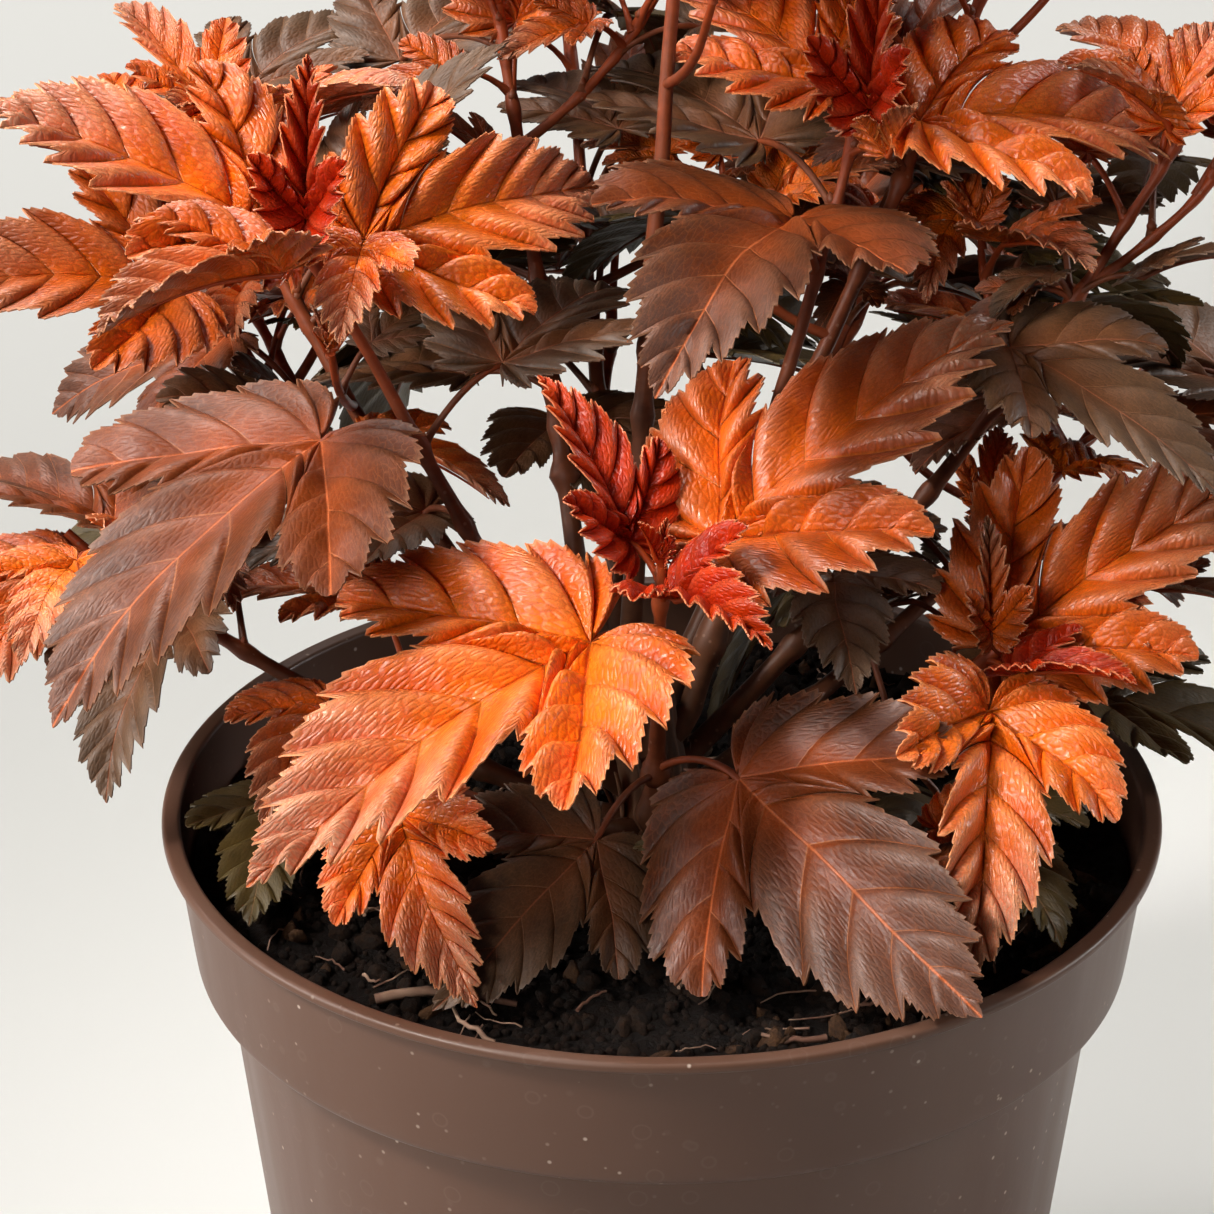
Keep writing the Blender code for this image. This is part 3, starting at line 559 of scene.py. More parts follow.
def nodeOn(stem, base, length):
    form = nodeForm
    wanted = base - Vector((0, 0, form["drop"] * length))
    span = form["last"] - stem["bare"]
    shares = [stem["bare"] + form["first"] + span * k / form["marks"] for k in range(form["marks"] + 1)]
    nearest = min(shares, key=lambda share: (stemPoint(stem, share) - wanted).length)
    return stemPoint(stem, nearest)


def plannedLeaf(stem, row):
    right, back, up, bearing, rise, roll, length, fold, droop, colour = row
    base = Vector((right * mm, back * mm, potHeight + up * mm))
    return dict(base=base, bearing=bearing, rise=rise, roll=roll, length=length * mm, fold=fold,
                droop=droop, colour=colour, node=nodeOn(stem, base, length * mm))


def ageColour(height, dice):
    age = 1 - height + dice.uniform(-ruleForm["ageSpread"], ruleForm["ageSpread"])
    for colour, limit in colourAges.items():
        if age < limit:
            return colour
    return "olive"


def leafMeasure(name, height):
    lowest, gain, power = leafRule[name]
    return lowest + gain * height ** power


# leaf number index of count on its stem's spiral, from the lowest node up to the tip
def ruleLeaf(stem, turn, size, index, count, dice):
    height = (index / max(1, count - 1)) ** ruleForm["crowding"]
    first, last = ruleForm["leafZone"]
    node = stemPoint(stem, stem["bare"] + first + (last - stem["bare"]) * height)
    scatter = leafScatter
    length = size * leafMeasure("length", height) * dice.uniform(*scatter["length"])
    bearing = turn + ruleForm["spiral"] * index + dice.uniform(-scatter["bearing"], scatter["bearing"])
    rise = leafMeasure("rise", height) + dice.uniform(-scatter["rise"], scatter["rise"])
    out = outward(radians(bearing), radians(leafMeasure("climb", height)))
    return dict(base=node + out * length * leafMeasure("reach", height), bearing=bearing, rise=rise,
                roll=dice.uniform(-scatter["roll"], scatter["roll"]), length=length,
                fold=leafMeasure("fold", height), droop=leafMeasure("droop", height),
                colour=ageColour(height, dice), node=node)


def nudged(leaf, share, dice):
    moved = dict(leaf)
    moved["bearing"] += dice.uniform(-1, 1) * ruleForm["nudgeTurn"] * share
    moved["rise"] += dice.uniform(-1, 1) * ruleForm["nudgeTilt"] * share
    moved["roll"] += dice.uniform(-1, 1) * ruleForm["nudgeTilt"] * share
    way = radians(moved["bearing"])
    out = ruleForm["nudgeOut"] * share * dice.random()
    moved["base"] = leaf["base"] + Vector((cos(way), sin(way), 0)) * out
    moved["length"] *= 1 - ruleForm["nudgeShrink"] * share * dice.random()
    return moved


def solidTree(points, faces):
    return BVHTree.FromPolygons(points, faces, all_triangles=False)


# a leaf with what the tests for contact need: middle and reach are a ball round all of it
def leafShape(leaf, owner):
    points, petiole, blade = leafSolid(leaf)
    return dict(leaf=leaf, owner=owner, points=points, bladeTree=solidTree(points, blade),
                petioleTree=solidTree(points, petiole), middle=onBlade(leaf, 0.4, 0),
                reach=0.75 * leaf["length"] + 0.02)


# whether a point stands in front of the planned leaves, seen from the front and a little above
def beforeFront(point, depth):
    up, tilt = point.z - potHeight, radians(crownForm["frontTilt"])
    inFront = point.y * cos(tilt) - up * sin(tilt) < depth
    return inFront and up < crownForm["frontTop"] - crownForm["frontFall"] * point.y


def inCrown(shape):
    for point in shape["points"]:
        if hypot(point.x, point.y - crownForm["back"]) > crownForm["radius"]:
            return False
        if point.z > potHeight + crownForm["top"]:
            return False
        overPot = hypot(point.x, point.y) < potForm["rimRadius"]
        if point.z < soilTop + crownForm["lowest"] and overPot:
            return False
    return True


def touches(shape, others, limbs, owner):
    for other in others:
        if (shape["middle"] - other["middle"]).length > shape["reach"] + other["reach"]:
            continue
        pairs = [("bladeTree", "bladeTree"), ("bladeTree", "petioleTree"), ("petioleTree", "bladeTree")]
        if owner != other["owner"]:
            pairs.append(("petioleTree", "petioleTree"))
        if any(shape[mine].overlap(other[its]) for mine, its in pairs):
            return True
    for limbOwner, tree in limbs:
        parts = ["bladeTree"] if limbOwner == owner else ["bladeTree", "petioleTree"]
        if any(shape[part].overlap(tree) for part in parts):
            return True
    return False


# the leaf as given, or nudged until it is clear of all else; none where no try is
def clearLeaf(leaf, owner, kept, limbs, dice, depth):
    tries = ruleForm["tries"]
    for attempt in range(tries):
        shape = leafShape(nudged(leaf, attempt / tries, dice) if attempt else leaf, owner)
        if any(beforeFront(point, depth) for point in shape["points"]):
            continue
        if inCrown(shape) and not touches(shape, kept, limbs, owner):
            return shape
    return None


def growPlanned(stems, limbs, dice):
    kept = []
    for name, shoot in shoots.items():
        for row in shoot.get("leaves", []):
            shape = clearLeaf(plannedLeaf(stems[name], row), name, kept, limbs, dice, openFront)
            if shape:
                shape["planned"] = True
                kept.append(shape)
    return kept


def growTwigs(stems, kept, limbs, dice):
    twigs = {name: [] for name in shoots}
    for name, shoot in shoots.items():
        for index in range(shoot.get("twigs", 0)):
            twig = sideTwig(shoot, stems[name], index, dice)
            tree = solidTree(*limbTube(twig["rings"], limbForm["twigSides"]))
            crossed = [other for owner, other in limbs if owner != name]
            crossed += [shape["bladeTree"] for shape in kept]
            if not any(tree.overlap(other) for other in crossed):
                twigs[name].append(twig)
                limbs.append((name, tree))
    return twigs


def growByRule(stems, twigs, kept, limbs, dice):
    for name, shoot in shoots.items():
        size, turn, count = shoot.get("size", 0) * mm, shoot.get("turn", 0), shoot["count"]
        depth = shoot.get("front", crownForm["frontDepth"])
        wanted = [ruleLeaf(stems[name], turn, size, k, count, dice) for k in range(count)]
        for order, twig in enumerate(twigs[name]):
            twigTurn, twigSize = turn + twigForm["leafTurn"] * order, size * twigForm["leafShare"]
            wanted += [ruleLeaf(twig, twigTurn, twigSize, k, twigForm["leaves"], dice)
                       for k in range(twigForm["leaves"])]
        for leaf in wanted:
            shape = clearLeaf(leaf, name, kept, limbs, dice, depth)
            if shape:
                kept.append(shape)


# finer growth that the solids leave out: bud leaves at each tip, small leaves on short spurs

# sizes are in millimetres, angles in degrees, places on the stem and reaches in shares
fineForm = dict(seed=411, spurs=10, spurSize=(17, 33), spurReach=0.5, heights=(0.02, 0.95),
                zone=(0.03, 0.93), climb=(20, 60), rise=(-20, 45))
tipForm = dict(leaves=3, size=(6, 11), stemEnd=0.985, twigEnd=0.97, lean=0.35, stand=0.9, reach=0.28,
               rise=(48, 78), roll=(-10, 10), fold=(42, 60), droop=(10, 22))


def growFine(stems, twigs, kept, limbs):
    dice = random.Random(fineForm["seed"])
    for name, shoot in shoots.items():
        depth = shoot.get("front", crownForm["frontDepth"]) if shoot["count"] else openFront
        for stem in [stems[name]] + twigs[name]:
            growTipLeaves(stem, name, kept, limbs, dice)
        if not shoot["count"]:
            continue
        for index in range(fineForm["spurs"]):
            # each twig bears twice as many spurs as the stem
            stem = dice.choice([stems[name]] + twigs[name] * 2)
            shape = clearLeaf(spurLeaf(stem, index, dice), name, kept, limbs, dice, depth)
            if shape:
                shape["fine"] = True
                kept.append(shape)


def spurLeaf(stem, index, dice):
    form = fineForm
    height = dice.uniform(*form["heights"])
    leaf = ruleLeaf(stem, dice.uniform(0, 360), 1, index, form["spurs"], dice)
    first, last = form["zone"]
    leaf["length"] = dice.uniform(*form["spurSize"]) * mm
    leaf["node"] = stemPoint(stem, stem["bare"] + first + (last - stem["bare"]) * height)
    out = outward(radians(leaf["bearing"]), radians(dice.uniform(*form["climb"])))
    leaf["base"] = leaf["node"] + out * leaf["length"] * form["spurReach"]
    leaf["rise"] = dice.uniform(*form["rise"])
    leaf["colour"] = ageColour(height, dice)
    return leaf


# tiny folded leaves that still stand up round the growing point
def growTipLeaves(stem, name, kept, limbs, dice):
    form = tipForm
    turn, planned = dice.uniform(0, 360), not shoots[name]["count"]
    colours = ["red", "red", "orange"] if planned else ["orange", "copper"]
    node = stemPoint(stem, form["stemEnd"] if stem["start"] else form["twigEnd"])
    crossed = [limb for limb in limbs if limb[0] != name]
    for index in range(form["leaves"]):
        bearing = turn + ruleForm["spiral"] * index
        length = dice.uniform(*form["size"]) * mm
        way, lean = radians(bearing), form["lean"]
        out = Vector((cos(way) * lean, sin(way) * lean, form["stand"]))
        leaf = dict(base=node + out * length * form["reach"], bearing=bearing,
                    rise=dice.uniform(*form["rise"]), roll=dice.uniform(*form["roll"]), length=length,
                    fold=dice.uniform(*form["fold"]), droop=dice.uniform(*form["droop"]),
                    colour=dice.choice(colours), node=node)
        shape = leafShape(leaf, name)
        others = [other for other in kept if other["owner"] != name or not other.get("fine")]
        if inCrown(shape) and not touches(shape, others, crossed, name):
            shape["fine"] = shape["bud"] = True
            kept.append(shape)


def growPlant():
    limbs = []
    for node in ("pot", "soil", "main_stem"):
        mesh = frame["nodes"][node].data
        limbs.append((node, solidTree([v.co.copy() for v in mesh.vertices],
                                      [list(face.vertices) for face in mesh.polygons])))
    stems = {name: shootStem(shoot) for name, shoot in shoots.items()}
    for name, stem in stems.items():
        bough = limbTube(stemRings(stem, 0, stem["bare"]), limbForm["boughSides"])
        leafy = limbTube(stem["rings"], limbForm["stemSides"])
        limbs += [(f"bough_{name}", solidTree(*bough)), (name, solidTree(*leafy))]
    dice = random.Random(ruleForm["seed"])
    kept = growPlanned(stems, limbs, dice)
    twigs = growTwigs(stems, kept, limbs, dice)
    growByRule(stems, twigs, kept, limbs, dice)
    twigCount = sum(len(row) for row in twigs.values())
    print("grown by the rule:", len(kept), "leaves,", twigCount, "side twigs")
    growFine(stems, twigs, kept, limbs)
    print("with the finer growth:", len(kept), "leaves")
    return stems, twigs, kept


# leaf blades: one flat unit blade, built vein by vein, in a few variants

# sideRib is the angle of the side lobes' ribs; seam and sideSeam are the shares of the ribs whose
# veins end on the line from the base to the notch between the lobes. The turns are the angles of
# the veins to the leaf's length, at a rib's start and what they gain to its end.
bladeForm = dict(sideRib=48, sideLength=0.61, seam=0.134, sideSeam=0.242, notch=(0.334, 0.200),
                 seamVeins=2, midVeins=6, innerVeins=3, outerVeins=4, basalVeins=2,
                 midTurn=(44, -15), innerTurn=(5, 14), outerTurn=(95, -14), basalTurn=(150, -55),
                 midEase=1.35, sideEase=1.1, innerWidth=0.179, outerWidth=0.30, basalWidth=0.150,
                 bow=0.05, pleat=0.030, tooth=0.038, ribSink=0.010, ribWidth=0.028,
                 warp=0.030, warpScale=2.2, variants=4)
# fullTooth and fullPleat are the vein lengths from which a tooth and a pleat have their full size;
# the pairs are the range from one vein to the next, and crowding sets columns closer at the hem
pleatForm = dict(toothRange=(0.7, 1.25), pleatRange=(0.85, 1.2), crowding=0.85, toothReach=5,
                 fullTooth=0.21, fullPleat=0.12, steep=0.62)
bladeMakes = {
    "fine": dict(phases=(0, 0.06, 0.14, 0.27, 0.34, 0.47, 0.54, 0.68, 0.75, 0.87, 0.93), columns=6),
    "plain": dict(phases=(0, 0.14, 0.47, 0.54, 0.87, 0.93), columns=4),
    "small": dict(phases=(0, 0.14, 0.68, 0.75), columns=3),
}
# how far the margin stands out between one vein's end and the next one towards the tip: a deep cut
# just beyond each vein, then small teeth that climb to the next one
toothCurve = [(0, 0.85), (0.06, 0.50), (0.14, -0.90), (0.27, -0.20), (0.34, -0.50), (0.47, 0.20),
              (0.54, -0.05), (0.68, 0.62), (0.75, 0.34), (0.87, 0.84), (0.93, 0.55), (1.0, 0.85)]
# half-width of the middle lobe, square to its rib, from the notch to the tip
lobeCurve = [(0, 0.2), (0.13, 0.226), (0.30, 0.208), (0.45, 0.168), (0.60, 0.121), (0.75, 0.074),
             (0.88, 0.034), (1.0, 0.0)]


def along(angle):
    turn = radians(angle)
    return Vector((cos(turn), sin(turn)))


def onCurve(curve, place):
    for (low, a), (high, b) in zip(curve, curve[1:]):
        if low <= place <= high:
            return a + (b - a) * (place - low) / (high - low)
    return 0.0


# the angle of the vein that leaves a rib at this share of its length
def veinTurn(name, share):
    start, gain = bladeForm[name]
    return start + gain * share


def lobeWidth(name, share):
    return bladeForm[name] * max(0, 1 - share ** 1.8) ** 0.9


# rib positions of a fan of veins: each vein's, and those of the phases up to the next vein
def stations(start, end, count, ease, phases):
    marks = [start + (end - start) * (1 - (1 - k / count) ** ease) for k in range(count + 1)]
    rows = [(marks[k] + (marks[k + 1] - marks[k]) * p, k + p, p) for k in range(count) for p in phases]
    return rows + [(marks[-1], count, 0)]


# The fans of veins of half a blade, under their names: the rows, which way the veins bow, and
# whether they end on the free margin. A row is the rib point, the vein's end, the vein's number
# with its phase, and the phase. Each fan has numbers of its own, from 0, 20, 40 and 60 up.
def bladeFans(phases):
    form = bladeForm
    notch, middle, side = Vector(form["notch"]), Vector((1, 0)), along(form["sideRib"])
    seams = form["seamVeins"]
    midSeam = [(middle * a, notch * (k / seams), k, p)
               for a, k, p in stations(0, form["seam"], seams, 1, phases)]
    sideSeam = [(side * a, notch * (k / seams), k + 20, p)
                for a, k, p in stations(0, form["sideSeam"], seams, 1, phases)]
    midFree, innerFree, outerFree, basal = [], [], [], []
    for a, k, p in stations(form["seam"], 1.0, form["midVeins"], form["midEase"], phases):
        t = (a - form["seam"]) / (1 - form["seam"])
        turn = veinTurn("midTurn", t)
        width = onCurve(lobeCurve, t) / sin(radians(turn))
        midFree.append((middle * a, middle * a + along(turn) * width, k + seams, p))
    ease = form["sideEase"]
    for a, k, p in stations(form["sideSeam"], form["sideLength"], form["innerVeins"], ease, phases):
        t = (a - form["sideSeam"]) / (form["sideLength"] - form["sideSeam"])
        span = along(veinTurn("innerTurn", t)) * lobeWidth("innerWidth", t)
        innerFree.append((side * a, side * a + span, k + 20 + seams, p))
    for a, k, p in stations(0, form["sideLength"], form["outerVeins"], ease, phases):
        t = a / form["sideLength"]
        span = along(veinTurn("outerTurn", t)) * lobeWidth("outerWidth", t)
        outerFree.append((side * a, side * a + span, k + 40, p))
    for a, k, p in stations(0, 1, form["basalVeins"], 1, phases):
        reach = form["basalWidth"] + form["basalWidth"] * a ** 0.8
        basal.append((Vector((0, 0)), along(veinTurn("basalTurn", a)) * reach, k + 60, p))
    return dict(midSeam=(midSeam, 1, False), sideSeam=(sideSeam, -1, False), midFree=(midFree, 1, True),
                innerFree=(innerFree, -1, True), outerFree=(outerFree, 1, True), basal=(basal, 1, True))


# height of a pleat at this share of a vein's length: round between two seams, and on the free
# margin still half as high as at its highest
def pleatHump(share, free):
    if free:
        return (1 - (1 - share) ** 2.2) * (1 - 0.45 * share ** 3)
    return sin(pi * share) ** 0.8


def bladeHalf(make, side, seed, points, faces, corners):
    form, fold, columns = bladeForm, pleatForm, make["columns"]
    dice = random.Random(seed)
    for fan, (rows, turn, free) in bladeFans(make["phases"]).items():
        first = len(points)
        teeth = [dice.uniform(*fold["toothRange"]) for _ in range(16)]
        pleats = [dice.uniform(*fold["pleatRange"]) for _ in range(16)]
        info = []
        for order, (rib, end, vein, phase) in enumerate(rows):
            span = end - rib
            length = span.length
            ahead = span / length if length > 1e-6 else Vector((0, 0))
            back = Vector((-ahead.y, ahead.x)) * turn
            # a fan's first or last vein can lie on the next fan's, and then both have one end
            atNotch = fan in ("midFree", "innerFree") and order == 0
            shared = fan == "outerFree" and order == 0 or fan == "basal" and order == len(rows) - 1
            reach = 0.0
            if free and not atNotch:
                gain = 1 if shared else teeth[int(vein) % 16]
                full = min(1, length / fold["fullTooth"])
                reach = onCurve(toothCurve, phase) * form["tooth"] * full * gain
            for column in range(columns + 1):
                s = (column / columns) ** fold["crowding"]
                spot = rib + span * s + back * form["bow"] * length * sin(pi * s)
                spot += ahead * reach * s ** fold["toothReach"]
                # steep on the side of the base, gentle towards the tip
                rise = sin(pi * phase ** fold["steep"]) ** 0.9 * pleatHump(s, free)
                rise *= min(1, length / fold["fullPleat"])
                height = form["pleat"] * rise * pleats[int(vein) % 16]
                points.append(Vector((spot.x, spot.y * side, height)))
                info.append((vein + (100 if side < 0 else 0), s * length, s))
        wide = columns + 1
        flip = (turn > 0) == (side > 0)
        flip = not flip if fan == "basal" else flip
        for row in range(len(rows) - 1):
            for column in range(columns):
                k = row * wide + column
                quad = [k, k + 1, k + wide + 1, k + wide]
                quad = quad if flip else quad[::-1]
                faces.append([first + q for q in quad])
                corners.append([info[q] for q in quad])


# how far a point of the flat blade is from the middle rib and from the side lobe's rib
def ribDistance(point):
    side = along(bladeForm["sideRib"])
    across = abs(point.y)
    nearest = across if point.x > 0 else point.xy.length
    run = min(max(point.x * side.x + across * side.y, 0), bladeForm["sideLength"])
    return nearest, (Vector((point.x, across)) - side * run).length


def makeBlade(name, make, seed, finishes):
    form = bladeForm
    points, faces, corners = [], [], []
    bladeHalf(make, 1, seed, points, faces, corners)
    bladeHalf(make, -1, seed + 50, points, faces, corners)
    spreads = []
    for point in points:
        middleRib, sideRib = ribDistance(point)
        spreads.append(min(middleRib, sideRib))
        sink = form["ribSink"] * exp(-(sideRib / form["ribWidth"]) ** 2)
        point.z -= sink * min(1, point.xy.length / 0.1)
        scale = form["warpScale"]
        shift = noise.noise_vector(Vector((point.x * scale, point.y * scale, seed * 3.7)))
        reach = min(1, point.xy.length / 0.35) * form["warp"]
        point.x += shift.x * reach
        point.y += shift.y * reach
    blade = sceneMesh(name, points, faces)
    for finish in finishes:
        blade.data.materials.append(finish)
    shape = bmesh.new()
    shape.from_mesh(blade.data)
    veins = shape.loops.layers.uv.new("veins")
    spread = shape.loops.layers.uv.new("spread")
    shape.faces.ensure_lookup_table()
    for face, row in zip(shape.faces, corners):
        for loop, (vein, distance, share) in zip(face.loops, row):
            loop[veins].uv = (vein, distance)
            loop[spread].uv = (share, spreads[loop.vert.index])
    bmesh.ops.remove_doubles(shape, verts=shape.verts[:], dist=2e-5)
    bmesh.ops.dissolve_degenerate(shape, edges=shape.edges[:], dist=1e-5)
    for face in shape.faces:
        face.normal_update()
        face.smooth = True
        if face.normal.z < 0:
            face.normal_flip()
    shape.to_mesh(blade.data)
    shape.free()
    return blade


# leaf materials

# the leaves' colour words in the order of the six upper finishes
colourWords = ["red", "orange", "copper", "bronze", "purple", "olive"]

# body and other are a leaf's two base colours, mixed in blotches; flush is nearer the base and the
# ribs, tip is the greyer colour of the outer third, vein the side veins, rib the main ribs, paleGlint the
# painted highlight along the teeth.
# net is how strongly the smallest veins show, in the colour named by mesh or else in that of vein.
# quilt is the height in millimetres of the cushions between them, below zero where they are sunk.
# fade is the share of tip colour at the tip, and crestSheen that of paleGlint colour on top of the pleats,
# as a painted sheen.
leafLooks = {
    # soft young blade, still dark with anthocyanin: saturated, with painted pale glints on its teeth
    "wineRedYoungLeaf": dict(
        body="#BC2E02", other="#981A02", flush="#8E1402", tip="#C85210", vein="#D04A14", rib="#C03C0C",
        paleGlint="#F0A070", net=0.25, mesh="other", quilt=0.18, rough=0.32, fade=0.25, crestSheen=0.08, specular=0.28),
    # fresh full-size blade: satin, clear orange that greys with a pink cast towards the tip
    "freshOrangeLeaf": dict(
        body="#F07010", other="#CE4A04", flush="#F27608", tip="#AC8670", vein="#DE7A2A", rib="#CE6014",
        paleGlint="#F2A670", net=0.75, mesh="other", quilt=0.23, rough=0.33, fade=0.88, crestSheen=0.32),
    # the same skin a little older: deeper orange with a brown cast
    "copperLeaf": dict(
        body="#D05C0E", other="#A64006", flush="#EC6A08", tip="#826450", vein="#C87436", rib="#CC5E1C",
        paleGlint="#D6956C", net=0.65, mesh="other", quilt=0.20, rough=0.34, fade=0.85, crestSheen=0.28),
    # ripening blade: smooth, purple-brown leathery skin over orange veins
    "bronzeLeaf": dict(
        body="#662E10", other="#4A220A", flush="#A04410", tip="#684F45", vein="#AE6A42", rib="#C4683A",
        paleGlint="#8C6044", net=0.26, quilt=0.08, rough=0.42, fade=0.70, crestSheen=0.18, specular=0.33),
    # mature blade: dull purple-brown with paler dusty veins
    "purpleBrownLeaf": dict(
        body="#604026", other="#4A301A", flush="#784220", tip="#64503F", vein="#8E6448", rib="#96583A",
        paleGlint="#745C4C", net=0.22, quilt=0.08, rough=0.46, fade=0.70, crestSheen=0.16, specular=0.40),
    # oldest blade, deep in the crown: green-brown
    "shadedOliveLeaf": dict(
        body="#463614", other="#503E18", flush="#48300F", tip="#524420", vein="#5A481E", rib="#6E4E28",
        paleGlint="#5A4A2A", net=0.14, quilt=0.07, rough=0.48, fade=0.6, crestSheen=0.1),
    # the undersides are matter and paler, as their skin lies over raised veins and fine down
    "rosyUnderside": dict(
        body="#B83C20", other="#C04C2C", flush="#B03018", tip="#C06440", vein="#D07850", rib="#D07048",
        paleGlint="#D09078", net=0.3, quilt=-0.14, rough=0.62, fade=0.5, crestSheen=0.0),
    "salmonUnderside": dict(
        body="#C8744C", other="#C07850", flush="#C86A40", tip="#B08470", vein="#D89068", rib="#D88048",
        paleGlint="#C08C78", net=0.3, quilt=-0.14, rough=0.62, fade=0.6, crestSheen=0.0),
    "apricotUnderside": dict(
        body="#A06448", other="#986850", flush="#A86038", tip="#947868", vein="#B87C5C", rib="#C07040",
        paleGlint="#A08070", net=0.3, quilt=-0.14, rough=0.62, fade=0.6, crestSheen=0.0),
    "duskyUnderside": dict(
        body="#705244", other="#685042", flush="#7C543E", tip="#766258", vein="#8E6C58", rib="#A06A48",
        paleGlint="#7A675C", net=0.3, quilt=-0.12, rough=0.64, fade=0.6, crestSheen=0.0),
    "greenishUnderside": dict(
        body="#4E4428", other="#544A2C", flush="#5A482A", tip="#5A5038", vein="#70603C", rib="#866240",
        paleGlint="#605440", net=0.3, quilt=-0.12, rough=0.64, fade=0.5, crestSheen=0.0),
    "oliveUnderside": dict(
        body="#4C461E", other="#524C22", flush="#52421C", tip="#585030", vein="#6E6034", rib="#7E6236",
        paleGlint="#5A5034", net=0.3, quilt=-0.12, rough=0.64, fade=0.5, crestSheen=0.0),
}
# rungGap, blotch, crinkle and grain are real sizes, the last three in millimetres; veinWidths are
# in shares of the gap between two side veins, at the rib and at the hem
leafSkin = dict(rungGap=1.40 * mm, rungsAcross=4.2, veinWidths=(0.030, 0.017), ribWidths=(0.0015, 0.0050),
                blotch=10, crinkle=2.2222, grain=1 / 3, specular=0.50)


def leafMaterial(name, look):
    specular = look.get("specular", leafSkin["specular"])
    made, tree, shader = newMaterial(name, look["rough"], Specular_IOR_Level=specular)
    veins = add(tree, "UVMap", uv_map="veins")
    spread = add(tree, "UVMap", uv_map="spread")
    flat = add(tree, "Attribute", out=1, attribute_name="flat")
    size = add(tree, "Attribute", out=2, attribute_name="size")
    tint = add(tree, "Attribute", out=2, attribute_name="tint")
    number = add(tree, "SeparateXYZ", [veins])
    distance = number.node.outputs[1]
    share = add(tree, "SeparateXYZ", [spread])
    ribGap = share.node.outputs[1]

    # the side veins thin out on their way to the teeth: 0.4 mm wide at the rib, 0.2 mm at the hem
    offVein = add(tree, "Math", [number, 0.5], operation="PINGPONG")
    nearRib, nearHem = leafSkin["veinWidths"]
    veinWidth = add(tree, "MapRange", [share, 0, 1, nearRib, nearHem])
    veinLine = add(tree, "MapRange", [offVein, 0, veinWidth, 1, 0])
    ribHalf, ribFade = leafSkin["ribWidths"]
    ribLine = add(tree, "MapRange", [ribGap, ribHalf, ribFade, 1, 0])
    # the smallest veins are a net with rungs between the side veins, 1.4 mm apart
    rung = add(tree, "Math", [distance, size], operation="MULTIPLY")
    rung = add(tree, "Math", [rung, 1 / leafSkin["rungGap"]], operation="MULTIPLY")
    across = add(tree, "Math", [number, leafSkin["rungsAcross"]], operation="MULTIPLY")
    across = add(tree, "Math", [tint, 61.0, across], operation="MULTIPLY_ADD")
    cell = add(tree, "CombineXYZ", [across, rung])
    netGap = add(tree, "TexVoronoi", {"Vector": cell, "Scale": 1.0, "Randomness": 0.95},
                 voronoi_dimensions="2D", feature="DISTANCE_TO_EDGE")
    netLine = add(tree, "MapRange", [netGap, 0.0, 0.12, look["net"] * 0.7, 0])

    # patterns in the flat leaf's own millimetres, each leaf with a place of its own in them
    onLeaf = add(tree, "VectorMath", {0: flat, "Scale": size}, operation="SCALE")
    onLeaf = add(tree, "VectorMath", {0: onLeaf, "Scale": 1000.0}, operation="SCALE")
    shift = add(tree, "Math", [tint, 997.0], operation="MULTIPLY")
    shift = add(tree, "CombineXYZ", {2: shift})
    onLeaf = add(tree, "VectorMath", [onLeaf, shift], operation="ADD")
    blotchScale, crinkleScale, grainScale = [1 / leafSkin[name] for name in ("blotch", "crinkle", "grain")]
    blotch = add(tree, "TexNoise", {"Vector": onLeaf, "Scale": blotchScale, "Detail": 3.0})
    crinkle = add(tree, "TexNoise", {"Vector": onLeaf, "Scale": crinkleScale, "Detail": 4.0,
                                     "Roughness": 0.62})
    grain = add(tree, "TexNoise", {"Vector": onLeaf, "Scale": grainScale, "Detail": 2.0})

    # the tip colour sets in three quarters up the blade, and the flush is strongest at the base
    reach = add(tree, "VectorMath", [flat], out=1, operation="LENGTH")
    faded = add(tree, "Math", [blotch, 0.7, reach], operation="MULTIPLY_ADD")
    faded = add(tree, "MapRange", [faded, 0.78, 1.28, 0, look["fade"]])
    flush = add(tree, "MapRange", [ribGap, 0.0, 0.15, 0.85, 0])
    nearBase = add(tree, "MapRange", [reach, 0.05, 0.75, 1, 0.10])
    flush = add(tree, "Math", [flush, nearBase], operation="MULTIPLY")
    # a thin painted highlight along the margin's teeth
    paleGlint = add(tree, "MapRange", [share, 0.94, 1.0, 0, 0.6])
    mixed = add(tree, "Math", [tint, 0.35, crinkle], operation="MULTIPLY_ADD")
    mixed = add(tree, "MapRange", [mixed, 0.50, 0.85, 0, 1])
    veinTone = add(tree, "Math", [veinLine, 0.80], operation="MULTIPLY")
    ribTone = add(tree, "Math", [ribLine, 0.85], operation="MULTIPLY")
    # the crest of each pleat, just beyond a side vein, is painted paler: a painted sheen
    phase = add(tree, "Math", [number], operation="FRACT")
    crestSheen = add(tree, "MapRange", [phase, 0.03, 0.20, 0, look["crestSheen"]], interpolation_type="SMOOTHSTEP")
    sheenFade = add(tree, "MapRange", [phase, 0.24, 0.80, 1, 0], interpolation_type="SMOOTHSTEP")
    crestSheen = add(tree, "Math", [crestSheen, sheenFade], operation="MULTIPLY")
    offRib = add(tree, "MapRange", [ribGap, 0.0, 0.10, 0, 1])
    crestSheen = add(tree, "Math", [crestSheen, offRib], operation="MULTIPLY")

    # and the hollow before the next vein is painted deeper in colour: painted shade
    hollowShade = add(tree, "MapRange", [phase, 0.38, 0.95, 0, 0.75], interpolation_type="SMOOTHSTEP")
    hollowShade = add(tree, "Math", [hollowShade, offRib], operation="MULTIPLY")
    mixed = add(tree, "Math", [mixed, hollowShade], operation="MAXIMUM")

